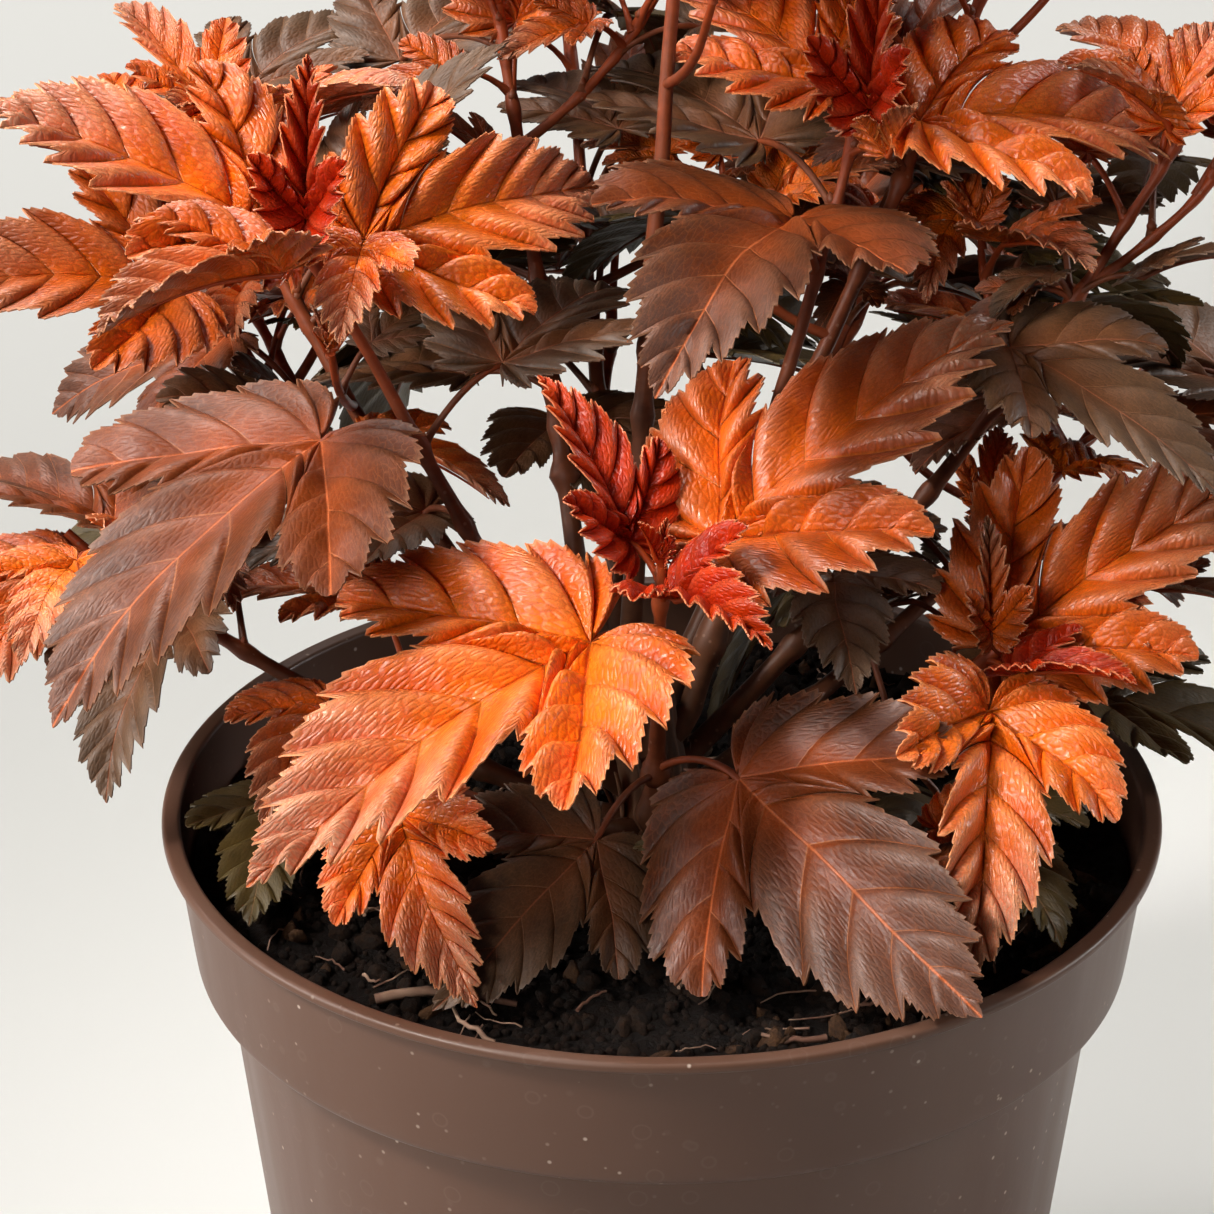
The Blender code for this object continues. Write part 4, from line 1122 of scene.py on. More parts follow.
    layers = [("other", mixed), ("tip", faded), ("flush", flush), ("paleGlint", crestSheen),
              (look.get("mesh", "vein"), netLine), ("paleGlint", paleGlint), ("vein", veinTone), ("rib", ribTone)]
    colour = layered(tree, look["body"], [(look[part], factor) for part, factor in layers])
    mottle = add(tree, "MapRange", [blotch, 0.35, 0.7, 0.74, 1.16])
    speck = add(tree, "MapRange", [grain, 0.3, 0.7, 0.80, 1.20])
    mottle = add(tree, "Math", [mottle, speck], operation="MULTIPLY")
    tree.links.new(multiplied(tree, colour, mottle), shader.inputs["Base Color"])

    # cushions with flat tops between the rungs, crinkled skin over them, sunk veins
    quilt = abs(look["quilt"])
    cushion = add(tree, "MapRange", [netGap, 0.0, 0.36, -0.50, 0], interpolation_type="SMOOTHSTEP")
    height = add(tree, "Math", [grain, 0.10 / (quilt * 8), crinkle], operation="MULTIPLY_ADD")
    height = add(tree, "Math", [cushion, height])
    for line in (veinLine, ribLine):
        height = add(tree, "Math", [line, -0.8, height], operation="MULTIPLY_ADD")
    bump = add(tree, "Bump", {"Height": height, "Strength": 1.0, "Distance": quilt * mm},
               invert=look["quilt"] < 0)
    tree.links.new(bump, shader.inputs["Normal"])
    gloss = add(tree, "MapRange", [crinkle, 0.3, 0.7, look["rough"] - 0.06, look["rough"] + 0.10])
    tree.links.new(gloss, shader.inputs["Roughness"])
    return made


# the leaves: blades are bent, turned and set in place by one tree of nodes

# planned leaves sweep less to the side than the others; smallLeaf is the length under which a leaf
# takes a blade with fewer faces
leafGrowth = dict(waveHeight=0.030, waveScale=2.6, thickness=0.28 * mm, smallLeaf=0.034, sharpAngle=62,
                  youngPleat=(1.7, 2.1), oldPleat=(0.80, 1.1), curl=(0.10, 0.35),
                  plannedSweep=0.03, freeSweep=0.10)
# the numbers that each leaf's point hands to the tree
leafLayers = dict(size="FLOAT", fold="FLOAT", droop="FLOAT", pleat="FLOAT", curl="FLOAT", sweep="FLOAT",
                  tint="FLOAT", root="FLOAT_VECTOR", turn="FLOAT_VECTOR", shade="INT", variant="INT")


def leafTree():
    tree, given = newTree("ninebarkLeaves", {
        "Blades": ("Collection", None), "Wave height": ("Float", leafGrowth["waveHeight"]),
        "Wave scale": ("Float", leafGrowth["waveScale"]), "Seed": ("Int", 3)})
    own = {name: add(tree, "GeometryNodeInputNamedAttribute", {"Name": name}, data_type=kind)
           for name, kind in leafLayers.items()}

    blades = add(tree, "GeometryNodeCollectionInfo",
                 {"Collection": given["Blades"], "Separate Children": True, "Reset Children": True})
    planted = add(tree, "GeometryNodeInstanceOnPoints",
                  {"Points": given["Geometry"], "Instance": blades, "Pick Instance": True,
                   "Instance Index": own["variant"]})
    leaves = add(tree, "GeometryNodeRealizeInstances", [planted])
    place = add(tree, "GeometryNodeInputPosition")
    leaves = add(tree, "GeometryNodeStoreNamedAttribute",
                 {"Geometry": leaves, "Name": "flat", "Value": place},
                 data_type="FLOAT_VECTOR", domain="POINT")
    x = add(tree, "SeparateXYZ", [place])
    y, z = x.node.outputs[1], x.node.outputs[2]

    # slow waves that grow towards the margin, and halves that bow down a little
    shift = add(tree, "Math", [own["tint"], 57.0, given["Seed"]], operation="MULTIPLY_ADD")
    moved = add(tree, "CombineXYZ", [x, y, shift])
    wave = add(tree, "TexNoise", {"Vector": moved, "Scale": given["Wave scale"], "Detail": 1.0})
    wave = add(tree, "MapRange", [wave, 0, 1, -4.0, 4.0], clamp=False)
    wave = add(tree, "Math", [wave, given["Wave height"]], operation="MULTIPLY")
    offRib = add(tree, "Math", [y], operation="ABSOLUTE")
    bow = add(tree, "Math", [offRib, own["curl"]], operation="MULTIPLY")
    wave = add(tree, "Math", [wave, bow], operation="SUBTRACT")
    wave = add(tree, "Math", [wave, offRib], operation="MULTIPLY")

    # the rib sweeps sideways and the halves fold up along it
    swept = add(tree, "Math", [x, x], operation="MULTIPLY")
    swept = add(tree, "Math", [swept, own["sweep"], y], operation="MULTIPLY_ADD")
    pleated = add(tree, "Math", [z, own["pleat"]], operation="MULTIPLY")
    half = add(tree, "Math", [swept], operation="SIGN")
    half = add(tree, "Math", [half, own["fold"]], operation="MULTIPLY")
    spot = add(tree, "CombineXYZ", {1: swept, 2: pleated})
    spot = add(tree, "VectorRotate", {"Vector": spot, "Angle": half}, rotation_type="X_AXIS")

    # the rib arches down as part of a circle whose radius is the arm
    arm = add(tree, "Math", [1.0, own["droop"]], operation="DIVIDE")
    lifted = add(tree, "CombineXYZ", {2: add(tree, "Math", [arm, wave])})
    spot = add(tree, "VectorMath", [spot, lifted], operation="ADD")
    arched = add(tree, "Math", [x, own["droop"]], operation="MULTIPLY")
    spot = add(tree, "VectorRotate", {"Vector": spot, "Angle": arched}, rotation_type="Y_AXIS")
    spot = add(tree, "VectorMath", [spot, add(tree, "CombineXYZ", {2: arm})], operation="SUBTRACT")

    spot = add(tree, "VectorMath", {0: spot, "Scale": own["size"]}, operation="SCALE")
    turned = add(tree, "FunctionNodeEulerToRotation", [own["turn"]])
    spot = add(tree, "FunctionNodeRotateVector", [spot, turned])
    spot = add(tree, "VectorMath", [spot, own["root"]], operation="ADD")
    leaves = add(tree, "GeometryNodeSetPosition", {"Geometry": leaves, "Position": spot})
    leaves = add(tree, "GeometryNodeSetShadeSmooth", {"Geometry": leaves})
    for index, name in enumerate(list(leafLooks)[:len(colourWords)]):
        chosen = add(tree, "FunctionNodeCompare", {2: own["shade"], 3: index}, data_type="INT",
                     operation="EQUAL")
        leaves = add(tree, "GeometryNodeSetMaterial",
                     {"Geometry": leaves, "Selection": chosen, "Material": bpy.data.materials[name]})
    add(tree, "NodeGroupOutput", [leaves])
    return tree


# what one leaf hands to the tree, apart from its blade
def leafNumbers(shape, dice):
    form, leaf, planned = leafGrowth, shape["leaf"], shape.get("planned")
    shade = leaf["colour"]
    if shade == "red" and not planned and not shape.get("bud"):
        shade = dice.choice(["orange", "copper"])
    young = shade in ("red", "orange", "copper")
    sweep = form["plannedSweep"] if planned else form["freeSweep"]
    turn = (radians(leaf["roll"]), radians(-leaf["rise"]), radians(leaf["bearing"]))
    return dict(size=leaf["length"], fold=radians(leaf["fold"]), droop=radians(leaf["droop"]),
                pleat=dice.uniform(*form["youngPleat" if young else "oldPleat"]),
                curl=dice.uniform(*form["curl"]), sweep=dice.uniform(-sweep, sweep),
                tint=dice.random(), root=leaf["base"], turn=turn, shade=colourWords.index(shade))


def bladeKind(shape):
    if shape.get("planned"):
        return "fine"
    return "small" if shape["leaf"]["length"] < leafGrowth["smallLeaf"] else "plain"


def makeLeaves(kept):
    finishes = [leafMaterial(name, look) for name, look in leafLooks.items()]
    variants = bladeForm["variants"]
    blades = bpy.data.collections.new("blades")
    starts = {}
    for kind, make in bladeMakes.items():
        starts[kind] = len(blades.objects)
        for number in range(variants):
            name = f"blade_{len(blades.objects):02d}"
            blades.objects.link(makeBlade(name, make, 7 + 13 * number, finishes))
    tree = leafTree()
    solid = dict(thickness=leafGrowth["thickness"], offset=-1, material_offset=len(colourWords))
    total = 0
    for name in shoots:
        rows = [shape for shape in kept if shape["owner"] == name]
        dice = random.Random(name)
        numbers = [leafNumbers(shape, dice) for shape in rows]
        for shape, row in zip(rows, numbers):
            row["variant"] = starts[bladeKind(shape)] + dice.randrange(variants)
        mesh = bpy.data.meshes.new(f"leaves_{name}")
        mesh.from_pydata([(0, 0, 0)] * len(rows), [], [])
        for layer, kind in leafLayers.items():
            pointLayer(mesh, layer, [row[layer] for row in numbers], kind)
        piece = bakeTree(bpy.data.objects.new(f"leaves_{name}", mesh), tree, {"Blades": blades}, solid)
        piece.data.set_sharp_from_angle(angle=radians(leafGrowth["sharpAngle"]))
        placePiece(piece, [f"mass_{name}"])
        total += len(piece.data.polygons)
    dropTemplates(blades)
    print("leaves made,", total, "faces")


# limbs: stems, twigs, petioles and boughs as swept curves with the bark's relief

# Sizes are in metres, those of the buds in millimetres. A tone is an age, from 0 for a young petiole
# to 1 for the oldest bark, and a pair of tones is that at a limb's foot and at its end. budLeaf and
# nodeLeaf are the leaf lengths from which a leaf has a bud above its petiole and a swollen node.
limbLooks = dict(sides=8, relief=0.10, grain=0.9 * mm, sharpAngle=70, seed=77,
                 ringGap=0.0016, wander=0.0005, wanderScale=60, overlap=0.004,
                 nodeSwell=0.35, nodeWidth=0.0022, nodeLeaf=0.02,
                 budLeaf=0.03, budSizes=(0.7, 1.1), budLength=2.4, budTone=0.5,
                 stemTones=(0.62, 0.18), twigTones=(0.45, 0.15))
# boughs are rounder and rougher, and carry the scars of fallen leaves with a dormant bud on each
boughLooks = dict(sides=14, relief=0.14, grain=1.6 * mm, tones=(1.0, 0.62), scars=3,
                  scarShares=(0.2, 0.95), scarBud=0.8 * mm, scarTone=0.9)
# the rings of a bough's collar on the stock: how far in and how far down (m), and how wide in
# shares of the bough's foot
collarRings = [(0.005, 0.003, 1.6), (0.002, 0.0012, 1.35)]
# the width of a bud along its length, both in shares
budShape = [(0, 0.5), (0.2, 0.95), (0.45, 1.0), (0.75, 0.6), (1.0, 0.12)]
# arch is the petiole's rise in shares of its length. Its radius is body times that of the rule, and
# more by root where it leaves the stem and by neck at the blade. rib is for its run under the blade.
petioleLooks = dict(arch=0.24, ringGap=0.0022, body=0.82, root=0.75, rootLength=0.0016, neck=0.18,
                    ribRings=10, ribStart=0.01, ribReach=0.87, ribWidth=0.85, ribTaper=0.72,
                    ribSink=0.92, ribClear=0.00012)
petioleTones = dict(red=0.0, orange=0.05, copper=0.12, bronze=0.3, purple=0.5, olive=0.6)


def shootBark():
    # young ninebark shoot: smooth, thin bark with a satin skin, red-orange on the petioles and
    # browner with age
    made, tree, shader = newMaterial("redShootBark", 0.48, Specular_IOR_Level=0.3)
    age = add(tree, "Attribute", out=2, attribute_name="tone")
    spot = add(tree, "TexCoord", out=3)
    streak = add(tree, "TexNoise", {"Vector": spot, "Scale": perMm(2.381), "Detail": 4.0})
    patch = add(tree, "TexNoise", {"Vector": spot, "Scale": perMm(14.286), "Detail": 2.0})
    mixed = add(tree, "Math", [patch, 0.35, age], operation="MULTIPLY_ADD")
    mixed = add(tree, "Math", [mixed, 0.17], operation="SUBTRACT")
    colours = add(tree, "ValToRGB", [mixed])
    setStops(colours, ((0.0, "#AC4418"), (0.3, "#8C3E1E"), (0.6, "#6E3A22"), (1.0, "#5E3C28")))
    dark = add(tree, "MapRange", [streak, 0.3, 0.7, 0.75, 1.15])
    colour = multiplied(tree, colours, dark)
    # lenticels: pale corky dots, about 0.6 mm wide and 3 mm apart
    dots = add(tree, "TexVoronoi", {"Vector": spot, "Scale": perMm(3.0303)})
    dots = add(tree, "MapRange", [dots, 0.07, 0.14, 0.55, 0])
    dress(tree, shader, layered(tree, colour, [("#9A7460", dots)]), streak, 0.15, 0.6)
    return made


def limbTree():
    look = limbLooks
    tree, given = newTree("ninebarkLimbs", {
        "Sides": ("Int", look["sides"]), "Relief": ("Float", look["relief"]),
        "Grain": ("Float", look["grain"]), "Seed": ("Int", 5), "Bark": ("Material", None)})
    radius = add(tree, "GeometryNodeInputNamedAttribute", {"Name": "radius"}, data_type="FLOAT")
    runs = add(tree, "GeometryNodeMeshToCurve", [given["Geometry"]])
    ring = add(tree, "GeometryNodeCurvePrimitiveCircle", {"Resolution": given["Sides"], "Radius": 1.0})
    limbs = add(tree, "GeometryNodeCurveToMesh",
                {"Curve": runs, "Profile Curve": ring, "Scale": radius, "Fill Caps": True})

    # bumps as high as the relief's share of the limb's radius
    place = add(tree, "GeometryNodeInputPosition")
    scale = add(tree, "Math", [1.0, given["Grain"]], operation="DIVIDE")
    bumps = add(tree, "TexNoise",
                {"Vector": place, "W": given["Seed"], "Scale": scale, "Detail": 2.0}, noise_dimensions="4D")
    bumps = add(tree, "Math", [bumps, 0.5], operation="SUBTRACT")
    for factor in (given["Relief"], radius, 2.0):
        bumps = add(tree, "Math", [bumps, factor], operation="MULTIPLY")
    normal = add(tree, "GeometryNodeInputNormal")
    offset = add(tree, "VectorMath", {0: normal, "Scale": bumps}, operation="SCALE")
    limbs = add(tree, "GeometryNodeSetPosition", {"Geometry": limbs, "Offset": offset})
    limbs = add(tree, "GeometryNodeRealizeInstances", [limbs])
    limbs = add(tree, "GeometryNodeSetShadeSmooth", {"Geometry": limbs})
    limbs = add(tree, "GeometryNodeSetMaterial", {"Geometry": limbs, "Material": given["Bark"]})
    add(tree, "NodeGroupOutput", [limbs])
    return tree


# a run is a list of (point, radius, tone)
def limbPiece(name, runs, tree, values):
    points, edges, radii, tones = [], [], [], []
    for run in runs:
        first = len(points)
        edges += [(first + k, first + k + 1) for k in range(len(run) - 1)]
        points += [point for point, _, _ in run]
        radii += [radius for _, radius, _ in run]
        tones += [tone for _, _, tone in run]
    mesh = bpy.data.meshes.new(name)
    mesh.from_pydata(points, edges, [])
    pointLayer(mesh, "radius", radii)
    pointLayer(mesh, "tone", tones)
    piece = bakeTree(bpy.data.objects.new(name, mesh), tree, values)
    piece.data.set_sharp_from_angle(angle=radians(limbLooks["sharpAngle"]))
    return piece


def stemRun(stem, start, end, tones, nodes=()):
    look = limbLooks
    length = (stem["tip"] - stem["foot"]).length
    steps = max(4, round(length * (end - start) / look["ringGap"]))
    run = []
    for k in range(steps + 1):
        share = start + (end - start) * k / steps
        point, radius = curvePoint(stem, share), curveRadius(stem, share)
        for node in nodes:
            gap = (point - node).length / look["nodeWidth"]
            if gap < 3:
                radius *= 1 + look["nodeSwell"] * exp(-gap * gap)
        wander = noise.noise_vector(point * look["wanderScale"]) * look["wander"] * min(1, share * 4)
        run.append((point + wander, radius, tones[0] + (tones[1] - tones[0]) * (k / steps)))
    return run


# the petiole widens where it leaves the stem and runs on under the blade as its midrib
def petioleRun(leaf):
    look = petioleLooks
    start, base = leaf["node"], leaf["base"]
    reach = (base - start).length
    control = start.lerp(base, 0.5) + Vector((0, 0, look["arch"] * reach))
    radius, tone = petioleRadius(leaf), petioleTones[leaf["colour"]]
    steps = max(5, round(reach / look["ringGap"]))
    run = []
    for k in range(steps):
        t = k / steps
        root = look["root"] * exp(-t * reach / look["rootLength"])
        thick = radius * (look["body"] + root + look["neck"] * t ** 3)
        run.append((arcPoint(start, control, base, t), thick, tone + 0.15 * (1 - t)))
    for k in range(look["ribRings"] + 1):
        t = look["ribStart"] + look["ribReach"] * k / look["ribRings"]
        width = radius * (look["ribWidth"] - look["ribTaper"] * t ** 0.7)
        sink = -(width * look["ribSink"] + look["ribClear"]) / leaf["length"]
        run.append((onBlade(leaf, t, 0, sink), width, tone))
    return run


def budRun(point, way, size, tone):
    return [(point + way * size * limbLooks["budLength"] * t, size * wide, tone) for t, wide in budShape]


def makeTwigs(stems, twigs, kept, tree, bark, dice):
    look = limbLooks
    for name, stem in stems.items():
        rows = [shape["leaf"] for shape in kept if shape["owner"] == name]
        nodes = [leaf["node"] for leaf in rows if leaf["length"] > look["nodeLeaf"]]
        runs = [stemRun(stem, stem["bare"] - look["overlap"], 1, look["stemTones"], nodes)]
        runs += [stemRun(twig, 0, 1, look["twigTones"], nodes) for twig in twigs[name]]
        runs += [petioleRun(leaf) for leaf in rows]
        for leaf in rows:
            if leaf["length"] > look["budLeaf"]:
                way = (leaf["base"] - leaf["node"]).normalized() * 0.5 + Vector((0, 0, 0.8))
                size = dice.uniform(*look["budSizes"]) * mm
                runs.append(budRun(leaf["node"] + way * 0.0012, way.normalized(), size, look["budTone"]))
        piece = limbPiece(f"twigs_{name}", runs, tree, {"Bark": bark})
        placePiece(piece, [f"mass_{name}"])


def makeBoughs(stems, tree, bark, dice):
    look, runs = boughLooks, []
    for stem in stems.values():
        foot = stem["foot"]
        outwards = (foot - stockAxis(foot.z - soilTop)).normalized()
        collar = [(foot - outwards * inward - Vector((0, 0, down)), limbForm["foot"] * wide, 1.0)
                  for inward, down, wide in collarRings]
        scars = [curvePoint(stem, stem["bare"] * dice.uniform(*look["scarShares"]))
                 for _ in range(look["scars"])]
        runs.append(collar + stemRun(stem, 0.01, stem["bare"] + limbLooks["overlap"], look["tones"], scars))
        ahead = (curvePoint(stem, 0.9) - foot).normalized()
        for scar in scars:
            way = ahead + noise.noise_vector(scar * 900)
            runs.append(budRun(scar, way, look["scarBud"], look["scarTone"]))
    values = {"Bark": bark, "Sides": look["sides"], "Relief": look["relief"], "Grain": look["grain"]}
    placePiece(limbPiece("boughs", runs, tree, values), [f"bough_{name}" for name in shoots])


def makeLimbs(stems, twigs, kept):
    tree, bark = limbTree(), shootBark()
    dice = random.Random(limbLooks["seed"])
    makeTwigs(stems, twigs, kept, tree, bark, dice)
    makeBoughs(stems, tree, bark, dice)
    print("limbs made")


# the woody stock, with bark that peels in strips

# Sizes are in metres; knot and the two widths are shares, of the stock's radius and of stripWidth.
barkLooks = dict(segments=64, levels=44, foot=0.0002, crown=0.0016, cap=0.0022,
                 ridges=9, ridgeHeight=0.0007, ridgeWander=2.5, ridgeScale=90,
                 knot=0.09, knotScale=110, seed=8,
                 strips=26, stripSteps=8, stripWidth=0.0022, stripWidths=(0.5, 1.1), stripThickness=0.0003,
                 stripLow=(0.002, 0.020), stripLength=(0.007, 0.014), stripCurl=(0.001, 0.0035),
                 stripTwist=(-0.25, 0.25))


def peelingBark():
    # old ninebark: grey-brown outer bark that peels in long papery strips over a cinnamon layer
    made, tree, shader = newMaterial("oldNinebarkBark", 0.85)
    spot = add(tree, "TexCoord", out=3)
    # both patterns are drawn out six times along the stock
    long = add(tree, "Mapping", {"Vector": spot, "Scale": (1.0, 1.0, 0.16)})
    fibre = add(tree, "TexNoise", {"Vector": long, "Scale": perMm(1.6129), "Detail": 5.0})
    plate = add(tree, "TexNoise", {"Vector": long, "Scale": perMm(6.6667), "Detail": 2.0})
    colours = add(tree, "ValToRGB", [plate])
    setStops(colours, ((0.0, "#3A261C"), (0.45, "#5C4232"), (0.6, "#8A5A3C"), (1.0, "#9A8270")))
    dark = add(tree, "MapRange", [fibre, 0.3, 0.7, 0.6, 1.2])
    dress(tree, shader, multiplied(tree, colours, dark), fibre, 0.5, 0.8)
    return made


def makeStock():
    look, tall = barkLooks, stockForm["height"]
    segments, levels = look["segments"], look["levels"]
    points = []
    for level in range(levels + 1):
        height = look["foot"] + (tall + look["crown"]) * level / levels
        centre, radius = stockAxis(height), stockRadius(height)
        # rounded off at the top
        radius *= 1 - 0.35 * max(0, (height - tall + 0.002) / 0.004) ** 2
        for k in range(segments):
            angle = tau * k / segments
            wander = noise.noise(Vector((angle, height * look["ridgeScale"], 3)))
            ridge = sin(angle * look["ridges"] + look["ridgeWander"] * wander)
            knots = noise.noise(Vector((cos(angle) * 1.6, sin(angle) * 1.6, height * look["knotScale"])))
            out = radius * (0.96 + look["knot"] * knots) + look["ridgeHeight"] * 0.5 * ridge
            points.append(centre + Vector((cos(angle), sin(angle), 0)) * out)
    top = len(points)
    rings = [range(first, first + segments) for first in range(0, top, segments)]
    points += [stockAxis(tall + look["cap"]), stockAxis(look["foot"])]
    faces = ringFaces(rings + [[top]], segments)
    faces += [[(k + 1) % segments, k, top + 1] for k in range(segments)]
    dice = random.Random(look["seed"])
    for _ in range(look["strips"]):
        addBarkStrip(points, faces, dice)
    stock = sceneMesh("woody_stock", points, faces, peelingBark())
    linkToScene(stock)
    stock.data.shade_smooth()
    placePiece(stock, ["main_stem"])
    print("stock made")


# one loose strip of bark: a thin closed ribbon that lifts off at its upper end
def addBarkStrip(points, faces, dice):
    look = barkLooks
    angle, low = dice.uniform(0, tau), dice.uniform(*look["stripLow"])
    length = dice.uniform(*look["stripLength"])
    width = look["stripWidth"] * dice.uniform(*look["stripWidths"])
    curl, twist = dice.uniform(*look["stripCurl"]), dice.uniform(*look["stripTwist"])
    first, steps, thick = len(points), look["stripSteps"], look["stripThickness"]
    for k in range(steps + 1):
        t = k / steps
        height = low + length * t
        centre, radius = stockAxis(height), stockRadius(height) * 1.02 + curl * t ** 2.5
        half = width * (0.4 + 0.6 * sin(pi * (0.12 + 0.8 * t))) / 2 / radius
        turn = angle + twist * t
        for place, lift in ((turn - half, 0), (turn + half, 0), (turn + half, thick), (turn - half, thick)):
            points.append(centre + Vector((cos(place), sin(place), 0)) * (radius + lift))
    for k in range(steps):
        a = first + 4 * k
        faces.extend([[a + 1, a, a + 4, a + 5], [a + 2, a + 1, a + 5, a + 6],
                      [a + 3, a + 2, a + 6, a + 7], [a, a + 3, a + 7, a + 4]])
    faces.append([first, first + 1, first + 2, first + 3])
    end = first + 4 * steps
    faces.append([end + 3, end + 2, end + 1, end])


# pot

potLooks = dict(cornerSteps=6, holeSides=28, sharpAngle=35)


# rounds each corner of a profile of (radius, height, fillet)
def roundedProfile(corners, steps):
    spots = []
    for index, (r, z, fillet) in enumerate(corners):
        corner = Vector((r, z))
        if not fillet:
            spots.append(corner)
            continue
        before = Vector(corners[index - 1][:2]) - corner
        after = Vector(corners[index + 1][:2]) - corner
        start, end = corner + before.normalized() * fillet, corner + after.normalized() * fillet
        spots += [arcPoint(start, corner, end, k / steps) for k in range(steps + 1)]
    return spots


# turns a profile round the pot's axis
def turnedMesh(profile, segments):
    points, rings = [], []
    for spot in profile:
        first = len(points)
        for k in range(segments if spot.x > 1e-6 else 1):
            angle = tau * k / segments
            points.append(Vector((spot.x * cos(angle), spot.x * sin(angle), spot.y)))
        rings.append(list(range(first, len(points))))
    return points, ringFaces(rings, segments)


def mouldedPolypropylene():
    # injection-moulded recycled polypropylene: satin taupe-brown, with dust and dried water on it
    made, tree, shader = newMaterial("mouldedPolypropylene", 0.40)
    spot = add(tree, "TexCoord", out=3)
    cloud = add(tree, "TexNoise", {"Vector": spot, "Scale": perMm(38.462), "Detail": 4.0})
    tall = add(tree, "Mapping", {"Vector": spot, "Scale": (1.0, 1.0, 0.12)})
    flow = add(tree, "TexNoise", {"Vector": tall, "Scale": perMm(11.111), "Detail": 3.0})
    colour = layered(tree, "#5C4032", [("#664738", cloud)])
    # dust flecks up to 1 mm wide, in patches of 18 mm, and rings of dried drops 3 mm wide
    flecks = add(tree, "TexVoronoi", {"Vector": spot, "Scale": perMm(3.8462)})
    flecks = add(tree, "MapRange", [flecks, 0.06, 0.13, 1, 0])
    patches = add(tree, "TexNoise", {"Vector": spot, "Scale": perMm(18.182), "Detail": 2.0})
    patches = add(tree, "MapRange", [patches, 0.46, 0.60, 0.1, 0.95])
    flecks = add(tree, "Math", [flecks, patches], operation="MULTIPLY")
    drops = add(tree, "TexVoronoi", {"Vector": spot, "Scale": perMm(8.3333)})
    drops = add(tree, "Math", [drops, 0.20], operation="SUBTRACT")
    drops = add(tree, "Math", [drops], operation="ABSOLUTE")
    drops = add(tree, "MapRange", [drops, 0.0, 0.035, 0.05, 0])
    dust = add(tree, "Math", [flecks, drops], operation="MAXIMUM")
    colour = layered(tree, colour, [("#C8B4A6", dust)])
    gloss = add(tree, "MapRange", [flow, 0.3, 0.7, 0.36, 0.46])
    gloss = add(tree, "Math", [dust, 0.4, gloss], operation="MULTIPLY_ADD")
    skin = add(tree, "TexNoise", {"Vector": spot, "Scale": perMm(1.1111), "Detail": 2.0})
    dress(tree, shader, colour, skin, 0.05, 0.25, gloss)
    return made


# The wall's corners from the middle of the underside out, up, over the lip and back down to the
# middle of the floor: radius, height and how far the corner is rounded off, in metres. The small
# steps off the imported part's own corners keep the rounded wall within it.
def potCorners():
    p = potForm
    foot, lip = p["height"] - p["collarHeight"], p["height"] - p["lipDrop"]
    return [(0, 0, 0), (p["bodyFootRadius"] - 0.0003, 0, 0.0020),
            (p["bodyTopRadius"], foot - 0.0002, 0.0005),
            (p["collarFootRadius"] - 0.0004, foot, 0.0017),
            (p["collarFootRadius"] + 0.0001, foot + 0.0030, 0.0012),
            (p["rimRadius"] - p["lipOverhang"], lip - 0.0007, 0.0004),
            (p["rimRadius"], lip, 0.0005), (p["rimRadius"], p["height"], 0.0010),
            (p["rimRadius"] - p["lipWidth"], p["height"], 0.0009),
            (p["collarFootRadius"] - p["wall"], foot + 0.0030, 0.0010),
            (p["bodyTopRadius"] - p["wall"], foot - 0.0020, 0.0010),
            (p["bodyFootRadius"] - p["wall"], p["floor"], 0.0013), (0, p["floor"], 0)]


def makePot():
    p, look = potForm, potLooks
    profile = roundedProfile(potCorners(), look["cornerSteps"])
    pot = sceneMesh("nursery_pot", *turnedMesh(profile, p["segments"]), mouldedPolypropylene())
    linkToScene(pot)
    for index in range(p["drainHoles"]):
        angle = tau * (index + 0.5) / p["drainHoles"]
        bpy.ops.mesh.primitive_cylinder_add(vertices=look["holeSides"], radius=p["drainRadius"],
                                            depth=4 * p["floor"])
        cutter = bpy.context.object
        cutter.location = (p["drainCircle"] * cos(angle), p["drainCircle"] * sin(angle), p["floor"] / 2)
        cut = pot.modifiers.new("drain", "BOOLEAN")
        cut.operation, cut.object = "DIFFERENCE", cutter
        bakeModifiers(pot)
        bpy.data.objects.remove(cutter)
    pot.data.shade_smooth()
    pot.data.set_sharp_from_angle(angle=radians(look["sharpAngle"]))
    placePiece(pot, ["pot"])
    print("pot made")


# potting mix

# sizes in metres: a slow swell of the whole surface, lumps and fine grains on it; flare is how far
# the surface reaches out along the collar's slope
soilLooks = dict(rings=64, segments=160, swell=0.0016, lump=0.0028, lumpScale=130,
                 fine=0.0005, fineScale=520, flare=0.0014)
# the scattered crumbs: how many on a square centimetre, the smallest and the largest size in
# millimetres, their proportions, how finely they are divided, and their finish
crumbSeed = 6
crumbKinds = {
    "peat_crumbs": dict(density=17, sizes=(0.6, 1.5), stretch=(1, 0.9, 0.8), level=1,
                        finish=("peatCrumb", "#0A0502", "#26150A", 2.0)),
    "peat_lumps": dict(density=1.5, sizes=(1.6, 3.4), stretch=(1, 0.85, 0.7), level=2,
                       finish=("peatLump", "#0C0603", "#2E1C0F", 2.0)),
    "bark_chips": dict(density=0.55, sizes=(1.2, 2.8), stretch=(1.6, 0.8, 0.4), level=2,
                       finish=("barkChip", "#2A190E", "#60422A", 2.5)),
}
